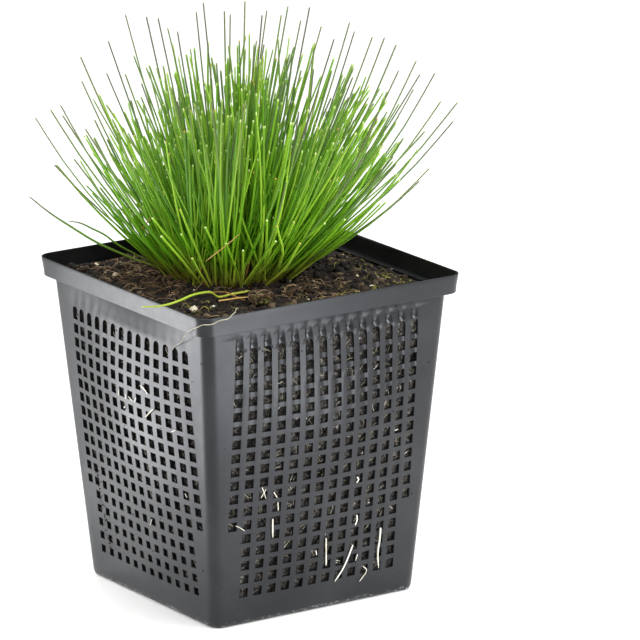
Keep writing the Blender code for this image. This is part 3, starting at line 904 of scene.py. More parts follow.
    def add_floor(self, bm: bmesh.types.BMesh) -> None:
        """Fills the foot with a floor that has a square field of small holes.

        Args:
            bm: The open basket.
        """
        count = 2 * self.floor_holes + 1
        grown = bmesh.ops.create_grid(bm, x_segments=count, y_segments=count, size=1.0)["verts"]
        bar = self.floor_pitch - self.floor_hole
        reach = (self.floor_holes * self.floor_pitch + bar) / 2.0
        spot = {}
        for vert in grown:
            step = [round((vert.co[i] + 1.0) / 2.0 * count) for i in (0, 1)]
            spot[vert] = step
            vert.co = (*(-reach + (s // 2) * self.floor_pitch + (bar if s % 2 else 0.0) for s in step), 0.0)
        faces = [f for f in bm.faces if all(v in spot for v in f.verts)]
        open_cells = [f for f in faces if all(min(spot[v][i] for v in f.verts) % 2 == 1 for i in (0, 1))]
        ends = [e for e in bm.edges if e.is_boundary and all(v.co.z < 0.01 * MM for v in e.verts)]
        bmesh.ops.triangle_fill(bm, edges=ends, use_beauty=True)
        bmesh.ops.delete(bm, geom=open_cells, context="FACES")


def apply_modifiers(piece: bpy.types.Object, smooth_degrees: float) -> None:
    """Bakes a piece's modifiers into its mesh and shades it smooth but for its sharp edges.

    Args:
        piece: The object with modifiers.
        smooth_degrees: The largest angle that is shaded smooth.
    """
    bpy.context.view_layer.update()
    graph = bpy.context.evaluated_depsgraph_get()
    old = piece.data
    piece.data = bpy.data.meshes.new_from_object(piece.evaluated_get(graph))
    piece.modifiers.clear()
    bpy.data.meshes.remove(old)
    piece.data.name = piece.name
    piece.data.shade_smooth()
    piece.data.set_sharp_from_angle(angle=math.radians(smooth_degrees))


# The peat

@dataclass
class PeatBed:
    """The peat that fills the basket: rough sides close behind the holes and a crumbly, mounded top."""

    shell: BasketShell = field(default_factory=BasketShell)
    inset: float = 1.35 * MM
    side_steps: int = 112
    corner_steps: int = 8
    side_rings: int = 96
    top_rings: int = 60
    level: float = 113.2 * MM
    seed: int = 23

    def top_height(self, x: float, y: float) -> float:
        """Height of the peat's top at a place.

        Args:
            x: Place along X.
            y: Place along Y.

        Returns:
            The height, with its mound, hollows and crumbs.
        """
        crown = math.hypot(x - CROWN.x, y - CROWN.y) / MM
        edge = max(abs(x), abs(y)) / MM
        mound = 1.6 * math.exp(-((crown - 12.0) / 16.0) ** 2)
        back = 1.2 * max(0.0, min(1.0, (y / MM - 10.0) / 35.0)) * max(0.0, min(1.0, (10.0 - x / MM) / 40.0))
        dip = -1.8 * max(0.0, (edge - 45.5) / 5.0) ** 1.5
        spot = Vector((x, y, 0.0)) / MM
        slow = 0.9 * noise.noise(spot / 14.0)
        clods = 1.0 * noise.noise(spot / 5.0 + Vector((7.0, 0.0, 0.0)))
        crumbs = 0.55 * noise.noise(spot / 1.9) + 0.3 * noise.noise(spot / 0.9)
        return self.level + (mound + back + dip + slow + clods + crumbs) * MM

    def side_depth(self, point: Vector) -> float:
        """How far inside its outer face the peat's rough side lies at a point."""
        spot = point / MM
        coarse = max(0.0, noise.noise(spot / 7.0)) * 1.8
        fine = abs(noise.noise(spot / 2.2)) * 1.0 + abs(noise.noise(spot / 1.0)) * 0.4
        return (coarse + fine) * MM

    def outline(self, z: float) -> list[Vector]:
        """The smooth outline of the peat at a height, before its side is roughened."""
        shell = self.shell
        radius = shell.corner_radius - 0.6 * MM
        ring = []
        for side in range(4):
            left, right = shell.ends(side, z, -self.inset, radius)
            for step in range(self.side_steps):
                ring.append(shell.on_wall(side, left + (right - left) * step / self.side_steps, z, -self.inset))
            for step in range(self.corner_steps):
                ring.append(shell.on_corner(side, step / self.corner_steps, z, -self.inset, radius))
        return ring

    def build(self) -> bpy.types.Object:
        """Wraps a grid round the outline for the sides and draws it in to the crown for the top.

        Returns:
            The peat piece.
        """
        columns = 4 * (self.side_steps + self.corner_steps)
        floor = 1.6 * MM
        side_top = self.level - 1.0 * MM
        rows = self.side_rings + self.top_rings
        bm = bmesh.new()
        bmesh.ops.create_grid(bm, x_segments=columns, y_segments=rows, size=1.0)
        rings = [self.outline(floor + (side_top - floor) * i / self.side_rings) for i in range(self.side_rings + 1)]
        edge = rings[-1]
        for vert in bm.verts:
            column = round((vert.co.x + 1.0) / 2.0 * columns) % columns
            row = round((vert.co.y + 1.0) / 2.0 * rows)
            if row <= self.side_rings:
                point = rings[row][column]
                inward = Vector((-point.x, -point.y, 0.0)).normalized()
                vert.co = point + inward * self.side_depth(point)
            else:
                share = 1.0 - (row - self.side_rings) / self.top_rings
                point = edge[column] * max(share, 0.02) * 0.985
                vert.co = (point.x, point.y, self.top_height(point.x, point.y))
        bmesh.ops.remove_doubles(bm, verts=bm.verts[:], dist=0.001 * MM)
        ends = [e for e in bm.edges if e.is_boundary]
        low = [e for e in ends if e.verts[0].co.z < 50.0 * MM]
        high = [e for e in ends if e.verts[0].co.z >= 50.0 * MM]
        for loop in (low, high):
            bmesh.ops.edgeloop_fill(bm, edges=loop)
        bmesh.ops.recalc_face_normals(bm, faces=bm.faces[:])
        mesh = bpy.data.meshes.new("peat_bed")
        bm.to_mesh(mesh)
        bm.free()
        mesh.shade_smooth()
        peat = link_piece("peat_bed", mesh)
        finish_piece(peat, Finishes.PEAT, "soil")
        return peat


@dataclass
class SurfaceLitter:
    """What lies on the peat: loose crumbs, dry fibres, pale grains, moss, and the three clumps in front."""

    peat: PeatBed
    crumb_count: int = 2400
    fibre_count: int = 460
    grain_count: int = 60
    speck_count: int = 180
    smear_count: int = 70
    moss_count: int = 150
    reach: float = 49.0 * MM
    crown_clear: float = 17.0 * MM
    seed: int = 41

    def spot(self, draw: random.Random, centre: tuple[float, float] | None = None,
             spread: float = 1.0) -> tuple[float, float]:
        """Draws a place on the peat outside the crown.

        Args:
            draw: The source of random numbers.
            centre: Where the places gather, in millimetres, or none for all over.
            spread: How widely they gather, in millimetres.

        Returns:
            The place in metres.
        """
        while True:
            if centre is None:
                x, y = (draw.uniform(-self.reach, self.reach) for _ in range(2))
            else:
                x, y = ((c + draw.gauss(0.0, spread)) * MM for c in centre)
            inside = max(abs(x), abs(y)) < self.reach
            if inside and math.hypot(x - CROWN.x, y - CROWN.y) > self.crown_clear:
                return x, y

    def on_peat(self, x: float, y: float, lift: float) -> np.ndarray:
        """A point a little over the peat's top."""
        return np.array((x, y, self.peat.top_height(x, y) + lift))

    def crumbs(self) -> None:
        """Scatters loose crumbs, most of them small."""
        draw = random.Random(self.seed)
        grains = []
        for _ in range(self.crumb_count):
            x, y = self.spot(draw)
            radius = (0.35 + 1.25 * draw.random() ** 3.2) * MM
            size = np.array([radius * draw.uniform(0.8, 1.5), radius, radius * draw.uniform(0.6, 1.0)])
            grains.append(Grain(self.on_peat(x, y, radius * 0.25), size, draw.random() ** 2.0))
        piece = GrainForm().scatter("peat_crumbs", grains)
        finish_piece(piece, Finishes.CRUMB)

    def fibres(self) -> None:
        """Lays curled dry fibres over the peat, thickest in the tangle beside the crown on the left."""
        draw = random.Random(self.seed + 1)
        strands = []
        homes = [None, (-31.0, 14.0), (-26.0, 36.0), (-30.0, 4.0), (-26.0, 36.0), (12.0, -30.0), (-34.0, 22.0)]
        for index in range(self.fibre_count):
            home = homes[index % len(homes)]
            x, y = self.spot(draw, home, 7.0)
            strands.append(self.curl(draw, x, y, draw.uniform(3.0, 13.0) * MM, draw.uniform(0.07, 0.16) * MM))
        piece = FIBRE_FORM.lay("dry_fibres", strands)
        finish_piece(piece, Finishes.FIBRE)

    def curl(self, draw: random.Random, x: float, y: float, length: float, radius: float) -> Strand:
        """One curled fibre that starts at a place on the peat.

        Args:
            draw: The source of random numbers.
            x: Start along X.
            y: Start along Y.
            length: The fibre's length.
            radius: Its radius.

        Returns:
            The strand.
        """
        heading = draw.uniform(0.0, 2.0 * math.pi)
        bend = draw.uniform(-1.1, 1.1)
        points = []
        for step in range(5):
            limit = self.reach + 0.6 * MM
            x = max(-limit, min(limit, x))
            y = max(-limit, min(limit, y))
            hump = math.sin(math.pi * step / 4.0) * draw.uniform(0.1, 1.3) * MM
            points.append(self.on_peat(x, y, 0.25 * MM + hump))
            x += math.cos(heading) * length / 4.0
            y += math.sin(heading) * length / 4.0
            heading += bend + draw.uniform(-0.5, 0.5)
        return Strand(np.array(points), radius, draw.random())

    def pale_grains(self) -> None:
        """Drops pale mineral grains and bark bits, a few of them at seen places."""
        draw = random.Random(self.seed + 2)
        grains = []
        seen = ((-39.8, -24.5, 1.5), (-37.0, 44.5, 1.1), (-38.0, 30.0, 1.0), (30.0, -34.0, 0.8), (43.0, -20.0, 0.9))
        for x, y, radius in seen:
            size = np.array([radius * 1.3, radius, radius * 0.8]) * MM
            grains.append(Grain(self.on_peat(x * MM, y * MM, 0.5 * radius * MM), size, 0.7))
        for _ in range(self.grain_count):
            x, y = self.spot(draw)
            radius = draw.uniform(0.22, 0.6) * MM
            grains.append(Grain(self.on_peat(x, y, radius * 0.8), np.array([radius * 1.3, radius, radius * 0.8]),
                                draw.random()))
        piece = GrainForm(seed=9).scatter("pale_grains", grains)
        finish_piece(piece, Finishes.GRAIN)

    def wall_specks(self) -> None:
        """Sticks tiny bits of peat to the basket's outer walls, a few of them at seen places."""
        draw = random.Random(self.seed + 4)
        shell = self.peat.shell
        places = [(3, 46.7, 100.7), (3, 40.9, 92.9), (3, 33.7, 23.6), (3, 37.4, 21.5), (0, 28.6, 110.4),
                  (0, 46.4, 81.5), (0, -12.3, 100.6), (3, -26.2, 42.2), (3, -27.7, 38.7), (3, -28.7, 29.6)]
        for index in range(self.speck_count):
            side = index % 4
            z = draw.uniform(3.0, 108.0)
            left, right = shell.ends(side, z * MM)
            places.append((side, draw.uniform(left, right) / MM, z))
        for _ in range(self.smear_count):
            share = draw.random()
            places.append((3, -30.6 + 5.4 * share + draw.gauss(0.0, 0.7), 45.0 - 33.0 * share))
        grains = []
        for side, across, z in places:
            radius = draw.uniform(0.1, 0.26) * MM
            place = np.array(shell.on_wall(side, across * MM, z * MM, 0.4 * radius))
            grains.append(Grain(place, np.array([radius, radius * 0.9, radius * 1.2]), draw.random() * 0.4))
        finish_piece(GrainForm(seed=12).scatter("peat_specks_on_walls", grains), Finishes.CRUMB)

    def moss(self) -> None:
        """Strews short dry moss leaves, most of them along the right front edge."""
        draw = random.Random(self.seed + 3)
        strands = []
        homes = ((44.0, -24.0), (34.0, -38.0), (44.0, -6.0), (-40.0, -26.0), None, (20.0, -40.0))
        for index in range(self.moss_count):
            x, y = self.spot(draw, homes[index % len(homes)], 5.5)
            strands.append(self.curl(draw, x, y, draw.uniform(1.5, 4.5) * MM, draw.uniform(0.12, 0.26) * MM))
        piece = FIBRE_FORM.lay("moss_leaves", strands)
        finish_piece(piece, Finishes.MOSS)

    def clump(self, name: str, centre: tuple[float, float], size: tuple[float, float, float], finish: Finishes,
              tones: tuple[float, float], number: int) -> None:
        """Builds one clump that stands clear of the peat, from a rough lump with crumbs on it.

        Args:
            name: The piece's name, and the name of the node that it stands for.
            centre: Its place in millimetres.
            size: Its full size in millimetres.
            finish: Its finish.
            tones: Darkest and lightest tone.
            number: Sets its own random draw.
        """
        draw = random.Random(self.seed + 10 + number)
        x, y = (c * MM for c in centre)
        half = np.array(size) * 0.5 * MM
        middle = self.on_peat(x, y, half[2] * 0.55)
        grains = [Grain(middle, half * 0.8, tones[0])]
        for _ in range(150):
            out = Vector((draw.gauss(0, 1), draw.gauss(0, 1), abs(draw.gauss(0, 1)) * 0.9 - 0.1)).normalized()
            place = middle + np.array(out) * half * draw.uniform(0.72, 0.98)
            radius = draw.uniform(0.3, 0.85) * MM
            grains.append(Grain(place, np.array([radius, radius * 0.9, radius * 0.8]),
                                draw.uniform(*tones)))
        piece = GrainForm(roughness=0.3, seed=number).scatter(name + "_form", grains)
        finish_piece(piece, finish, name)

    def clump_fibres(self) -> None:
        """Winds dry fibres round the clumps."""
        draw = random.Random(self.seed + 30)
        strands = []
        for (cx, cy), (wide, deep, high), count in (((-15.5, -31.2), (8.6, 7.0, 6.0), 90),
                                                    ((1.0, -27.6), (6.6, 5.6, 4.2), 40),
                                                    ((9.4, -26.4), (4.6, 4.4, 3.0), 20)):
            middle = self.on_peat(cx * MM, cy * MM, high * 0.27 * MM)
            half = np.array((wide, deep, high)) * 0.5 * MM
            for _ in range(count):
                start = draw.uniform(0.0, 2.0 * math.pi)
                tilt = draw.uniform(-0.9, 0.9)
                points = []
                for step in range(5):
                    angle = start + step * draw.uniform(0.25, 0.45)
                    out = np.array((math.cos(angle), math.sin(angle) * math.cos(tilt), abs(math.sin(angle + tilt))))
                    points.append(middle + out * half * draw.uniform(0.95, 1.12))
                strands.append(Strand(np.array(points), draw.uniform(0.06, 0.13) * MM, draw.random()))
        piece = FIBRE_FORM.lay("clump_fibres", strands)
        finish_piece(piece, Finishes.FIBRE)

    def build(self) -> None:
        """Builds all of the litter."""
        self.crumbs()
        self.fibres()
        self.pale_grains()
        self.wall_specks()
        self.moss()
        self.clump("moss_clump", (-15.5, -31.2), (8.0, 6.6, 5.6), Finishes.MOSS, (0.1, 0.75), 1)
        self.clump("peat_crumb_1", (1.0, -27.6), (6.2, 5.2, 3.8), Finishes.CRUMB, (0.25, 0.9), 2)
        self.clump("peat_crumb_2", (9.4, -26.4), (4.4, 4.4, 2.8), Finishes.CRUMB, (0.25, 0.8), 3)
        self.clump_fibres()


# The plant

@dataclass
class CulmTuft:
    """The tuft: hundreds of round culms that rise from the crown and open like a brush."""

    bundles: int = 66
    count: int = 1254
    crown_radius: float = 18.5 * MM
    foot: float = 112.6 * MM
    reaches: tuple[tuple[float, float], ...] = ((22.0, 76.0), (28.0, 84.0), (34.0, 92.0), (42.0, 98.0),
                                                (52.0, 101.0), (65.0, 101.0), (90.0, 98.0))
    full_side: float = 0.05
    seed: int = 77

    # Tips that end against the background, across and up from the crown as the camera sees them, in
    # millimetres, from the lower left round to the lower right
    outline_tips: tuple[tuple[float, float], ...] = (
        (-62.3, 43.3), (-50.8, 56.0), (-68.3, 59.9), (-63.3, 63.5), (-59.0, 61.3), (-52.4, 74.8), (-43.1, 76.7),
        (-52.6, 83.5), (-36.4, 76.1), (-42.4, 88.6), (-36.3, 98.7), (-28.5, 96.5), (-24.4, 96.1), (-21.4, 94.2),
        (-17.8, 92.3), (-11.0, 99.2), (-8.5, 102.8), (-1.0, 99.9), (1.1, 98.9), (6.4, 102.0), (10.4, 88.8),
        (12.5, 98.6), (14.2, 99.7), (19.2, 96.8), (21.7, 100.7), (26.3, 96.0), (29.5, 101.0), (33.4, 92.6),
        (38.0, 88.4), (43.4, 93.8), (45.5, 92.0), (51.5, 88.6), (55.8, 88.4), (60.4, 86.9), (61.1, 77.0),
        (67.4, 80.6), (66.1, 69.6), (74.3, 76.5), (76.1, 65.5), (82.5, 65.8), (80.3, 57.8), (55.3, 49.9),
        (71.7, 40.5), (68.1, 35.8), (62.0, 29.9),
    )

    # The tuft's farthest tips on each side, in millimetres
    far_tips: tuple[tuple[float, float, float], ...] = (
        (-73.2, -0.4, 168.4), (-70.0, -8.6, 177.0), (-69.3, 14.4, 184.4), (70.8, 24.4, 163.6), (69.2, -7.9, 181.0),
        (68.8, -11.4, 160.5), (4.3, -67.2, 171.3), (-23.8, -60.8, 165.2), (22.3, -59.2, 167.6),
        (-8.2, 76.6, 156.0), (18.9, 74.8, 163.0), (2.0, 74.0, 171.0),
    )

    # Short fresh culms in front: the tip, then a point lower down, each across, away and up from the crown
    front_culms: tuple[tuple[tuple[float, float, float], tuple[float, float, float]], ...] = (
        ((-24.0, -36.9, 26.3), (-17.5, -27.7, 15.7)), ((-17.2, -31.0, 34.5), (-10.4, -23.2, 14.5)),
        ((-27.1, -33.0, 31.9), (-20.3, -24.7, 20.9)), ((-8.4, -34.9, 28.9), (-3.3, -26.2, 15.2)),
        ((-1.1, -38.5, 23.9), (2.4, -28.8, 11.5)), ((-3.1, -31.6, 33.5), (-0.7, -23.7, 21.2)),
        ((-4.1, -24.4, 43.7), (-0.3, -18.3, 28.6)), ((-0.2, -29.0, 37.2), (3.9, -21.8, 24.3)),
        ((-13.1, -41.8, 19.4), (-10.4, -31.3, 10.8)), ((-16.9, -36.5, 26.8), (-13.9, -27.4, 18.6)),
        ((7.7, -20.0, 49.8), (11.9, -15.0, 37.1)), ((10.9, -18.9, 51.3), (9.8, -14.2, 38.8)),
        ((17.0, -34.7, 29.0), (19.1, -26.0, 17.2)), ((13.5, -33.4, 30.9), (13.1, -25.0, 17.7)),
        ((41.1, -33.2, 30.9), (35.1, -24.9, 21.9)), ((25.1, -38.5, 23.7), (20.1, -28.8, 12.0)),
        ((16.6, -38.0, 24.4), (10.9, -28.5, 14.2)), ((4.9, -40.0, 21.7), (4.8, -30.0, 9.9)),
        ((12.2, -24.8, 42.9), (11.1, -18.6, 30.7)), ((16.8, -24.2, 43.8), (14.6, -18.1, 28.7)),
        ((23.0, -33.8, 30.2), (20.2, -25.4, 21.4)), ((34.0, -34.1, 29.7), (28.0, -25.5, 22.8)),
        ((20.8, -23.9, 44.1), (19.6, -18.0, 32.3)),
    )

    def reach(self, elevation: float, azimuth: float) -> float:
        """How far the outermost tips stand from the crown in one direction.

        Args:
            elevation: Angle over the horizon, in radians.
            azimuth: Bearing, in radians.

        Returns:
            The distance in metres.
        """
        degrees, lengths = zip(*self.reaches)
        length = float(np.interp(math.degrees(elevation), degrees, lengths))
        return (length * (1.0 + self.full_side * math.cos(elevation) * math.cos(azimuth - CAMERA_AZIMUTH))) * MM

    def culm(self, draw: random.Random, start: Vector, tip: Vector, lift: float, radius: float, tone: float,
             age: float) -> Strand:
        """One culm on a gentle curve from its foot to its tip.

        Args:
            draw: The source of random numbers.
            start: The foot.
            tip: The tip.
            lift: How far its middle stands over the straight line, as a share of its length.
            radius: Its radius at the foot.
            tone: Its shade.
            age: How dull it is.

        Returns:
            The strand.
        """
        chord = tip - start
        sideways = chord.cross(Vector((0.0, 0.0, 1.0))).normalized()
        over = sideways.cross(chord).normalized()
        bend = (over * lift + sideways * draw.gauss(0.0, 0.014)) * chord.length
        points = [start + chord * t + bend * 4.0 * t * (1.0 - t) for t in (0.0, 0.22, 0.48, 0.75, 1.0)]
        return Strand(np.array([tuple(p) for p in points]), radius, tone, age)

    def random_culms(self, draw: random.Random) -> list[Strand]:
        """The many culms. They grow in small bundles, each with a heading of its own, that lean out more
        towards the rim of the crown."""
        strands = []
        for index in range(self.bundles):
            share = math.sqrt((index + 0.5) / self.bundles)
            bearing = index * math.pi * (3.0 - math.sqrt(5.0)) + draw.uniform(-0.2, 0.2)
            heading = bearing + draw.gauss(0.0, 0.2)
            rise = 88.0 - 56.0 * share ** 1.25 + draw.gauss(0.0, 4.0)
            place = CROWN + Vector((math.cos(bearing), math.sin(bearing), 0.0)) * self.crown_radius * share
            for _ in range(self.count // self.bundles):
                strands.append(self.bundle_culm(draw, place, heading, rise, share))
        return strands

    def bundle_culm(self, draw: random.Random, place: Vector, heading: float, rise: float, share: float) -> Strand:
        """One culm of a bundle.

        Args:
            draw: The source of random numbers.
            place: The bundle's middle on the crown.
            heading: The bundle's bearing, in radians.
            rise: The bundle's angle over the horizon, in degrees.
            share: The bundle's place between the middle of the crown, 0, and its rim, 1.

        Returns:
            The strand.
        """
        stray = 2.4 if draw.random() < 0.22 else 1.0
        elevation = math.radians(rise + draw.gauss(0.0, 6.0) * stray)
        azimuth = heading + draw.gauss(0.0, 0.13) * stray / max(0.3, math.cos(elevation))
        to_camera = math.cos(azimuth - CAMERA_AZIMUTH + math.pi / 2.0)
        to_left = max(0.0, -math.cos(azimuth - CAMERA_AZIMUTH))
        lowest = 25.0 + 33.0 * max(0.0, to_camera) ** 1.5 + 9.0 * to_left
        elevation = min(max(elevation, math.radians(lowest)), math.radians(94.0))
        start = place + Vector((draw.gauss(0.0, 1.5), draw.gauss(0.0, 1.5), 0.0)) * MM
        start.z = self.foot - 0.6 * MM
        most = 0.87 + 0.09 * abs(to_camera) * math.cos(elevation)
        part = most - (0.44 + 0.22 * max(0.0, to_camera) + 0.16 * to_left) * draw.random() ** (1.0 - 0.4 * to_left)
        level = math.cos(elevation)
        tip = CROWN + Vector((math.cos(azimuth) * level, math.sin(azimuth) * level, math.sin(elevation))) * (
            self.reach(elevation, azimuth) * part)
        lift = 0.012 - 0.05 * share ** 2 + draw.gauss(0.0, 0.011)
        age = max(0.0, min(1.0, (part - 0.66) * 2.3 + draw.uniform(-0.4, 0.3)))
        if draw.random() < 0.015:
            age = 1.0
        return self.culm(draw, start, tip, lift, draw.uniform(0.33, 0.5) * MM, draw.random(), age)

    def from_camera_side(self, across: float, away: float, up: float) -> Vector:
        """A point given across the view, away from the camera and up from the crown, in millimetres."""
        return CROWN + (CAMERA_RIGHT * across + CAMERA_AWAY * away + Vector((0.0, 0.0, up))) * MM

    def outline_culms(self, draw: random.Random) -> list[Strand]:
        """The thin outer culms whose tips end against the background."""
        strands = []
        for across, up in self.outline_tips:
            away = draw.uniform(-16.0, 16.0)
            tip = self.from_camera_side(across, away, up - RISE_PER_DEPTH * away)
            out = Vector((tip.x - CROWN.x, tip.y - CROWN.y, 0.0))
            lean = min(1.0, out.length / (70.0 * MM))
            start = CROWN + out.normalized() * self.crown_radius * lean * draw.uniform(0.75, 0.98)
            start.z = self.foot - 0.6 * MM
            lift = 0.008 - 0.055 * lean ** 2
            strands.append(self.culm(draw, start, tip, lift, draw.uniform(0.3, 0.38) * MM,
                                     draw.uniform(0.1, 0.6), draw.uniform(0.75, 1.0)))
        return strands

    def far_culms(self, draw: random.Random) -> list[Strand]:
        """The culms that reach the tuft's farthest tips."""
        strands = []
        for place in self.far_tips:
            tip = Vector(place) * MM
            out = Vector((tip.x - CROWN.x, tip.y - CROWN.y, 0.0)).normalized()
            start = CROWN + out * self.crown_radius * 0.9
            start.z = self.foot - 0.6 * MM
            strands.append(self.culm(draw, start, tip, -0.03, draw.uniform(0.34, 0.42) * MM,
                                     draw.uniform(0.1, 0.6), draw.uniform(0.6, 1.0)))
        return strands

    def fresh_culms(self, draw: random.Random) -> list[Strand]:
        """The short, light culms in front, whose pale buds show against the mass."""
        strands = []
        for tip_place, low_place in self.front_culms:
            tip = self.from_camera_side(*tip_place)
            low = self.from_camera_side(*low_place)
            down = (low - tip).normalized()
            start = low + down * ((low.z - self.foot) / max(0.2, -down.z))
            out = Vector((start.x - CROWN.x, start.y - CROWN.y, 0.0))
            if out.length > self.crown_radius:
                start = CROWN + out.normalized() * self.crown_radius * 0.97
            start.z = self.foot - 0.6 * MM
            points = np.array([tuple(p) for p in (start, (start + low) / 2.0, low, (low + tip) / 2.0, tip)])
            strands.append(Strand(points, draw.uniform(0.48, 0.58) * MM, draw.uniform(0.66, 1.0), 0.0))
        return strands

    def sheaths(self, draw: random.Random) -> list[Strand]:
        """Short straw-brown sheaths and stubs between the culms' feet."""
        strands = []
        for _ in range(120):
            azimuth = draw.uniform(0.0, 2.0 * math.pi)
            ring = self.crown_radius * draw.uniform(0.72, 1.06)
            start = Vector((CROWN.x + math.cos(azimuth) * ring, CROWN.y + math.sin(azimuth) * ring,
                            self.foot - 0.5 * MM))
            lean = Vector((math.cos(azimuth), math.sin(azimuth), draw.uniform(0.8, 2.2))).normalized()
            tip = start + lean * draw.uniform(4.0, 15.0) * MM
            strands.append(self.culm(draw, start, tip, -0.03, draw.uniform(0.26, 0.42) * MM, draw.random() * 0.45, 1.0))
        return strands

    def dry_stalks(self, draw: random.Random) -> list[Strand]:
        """The kinked dry stalks caught in the front of the tuft."""
        routes = (((-8.3, -33.0, 15.9), (-0.9, -33.0, 21.7), (3.7, -33.0, 25.7)),
                  ((0.5, -26.0, 49.7), (3.5, -26.0, 54.3), (6.7, -26.0, 58.8)),
                  ((-0.7, -29.0, 40.7), (2.6, -29.0, 41.6), (5.5, -29.0, 43.0), (6.4, -29.0, 48.8)),
                  ((-31.0, -18.0, 24.0), (-28.5, -17.0, 27.0), (-25.5, -16.0, 32.0)))
        return [Strand(np.array([tuple(self.from_camera_side(*p)) for p in route]), 0.24 * MM,
                       draw.uniform(0.35, 0.9)) for route in routes]

    def build(self) -> None:
        """Builds the culms in two pieces, then the sheaths and the dry stalks."""
        draw = random.Random(self.seed)
        many = self.random_culms(draw)
        outer = self.outline_culms(draw) + self.far_culms(draw) + self.fresh_culms(draw)
        middle = len(many) // 2
        for name, strands in (("tuft_heart_culms", many[:middle]), ("tuft_outer_culms", many[middle:] + outer)):
            finish_piece(CULM_FORM.lay(name, strands), Finishes.CULM, "grass_tuft")
        finish_piece(FIBRE_FORM.lay("tuft_sheaths", self.sheaths(draw)), Finishes.STRAW)
        finish_piece(FIBRE_FORM.lay("tuft_dry_stalks", self.dry_stalks(draw)), Finishes.STRAW)


@dataclass
class SingleCulms:
    """The culms and the stalk that lie apart from the tuft."""

    arching: tuple[tuple[float, float, float], ...] = (
        (-20.5, 17.5, 113.4), (-26.5, 20.8, 117.6), (-33.0, 26.3, 120.6), (-43.2, 32.9, 126.3), (-51.2, 38.1, 132.4),
        (-57.5, 42.2, 137.6), (-63.4, 46.0, 143.5))
    second_arching: tuple[tuple[float, float, float], ...] = (
        (-19.0, 19.0, 114.0), (-33.6, 30.7, 123.4), (-39.2, 34.3, 128.3), (-42.8, 36.7, 130.6), (-46.7, 39.2, 132.9),
        (-50.0, 41.3, 133.6))
    fallen: tuple[tuple[float, float, float], ...] = (
        (-11.5, -17.6, 114.6), (-19.8, -19.2, 115.2), (-26.1, -20.1, 115.3), (-31.5, -22.6, 118.4),
        (-42.0, -28.4, 120.4), (-50.0, -32.8, 120.7), (-56.1, -34.4, 120.5), (-60.2, -32.1, 119.8),
        (-63.0, -27.6, 119.2))
    stalk: tuple[tuple[float, float, float], ...] = (
        (-24.5, -13.6, 115.4), (-23.9, -16.5, 116.0), (-22.9, -20.2, 116.5), (-21.9, -24.0, 115.9),
        (-21.0, -29.4, 115.2))
    second_stalk: tuple[tuple[float, float, float], ...] = (
        (-28.9, -24.5, 115.3), (-25.6, -25.6, 115.5), (-21.6, -27.0, 115.8), (-18.3, -28.5, 115.9))

    def build(self) -> None:
        """Builds each one as a piece; three of them stand for their nodes."""
        for name, route, radius, tone, age, finish, nodes in (
            ("arching_culm_left", self.arching, 0.42, 0.35, 0.85, Finishes.CULM, ("arching_culm",)),
            ("second_arching_culm", self.second_arching, 0.34, 0.3, 0.7, Finishes.CULM, ()),
            ("fallen_culm_over_rim", self.fallen, 0.45, 0.95, 0.0, Finishes.CULM, ("fallen_culm",)),
            ("dry_stalk_on_peat", self.stalk, 0.24, 0.55, 0.0, Finishes.STRAW, ("dry_stalk",)),
            ("second_dry_stalk", self.second_stalk, 0.3, 0.95, 0.0, Finishes.STRAW, ()),
        ):
            strand = Strand(np.array(route) * MM, radius * MM, tone, age)
            finish_piece(LONG_FORM.lay(name, [strand]), finish, *nodes)


# The roots

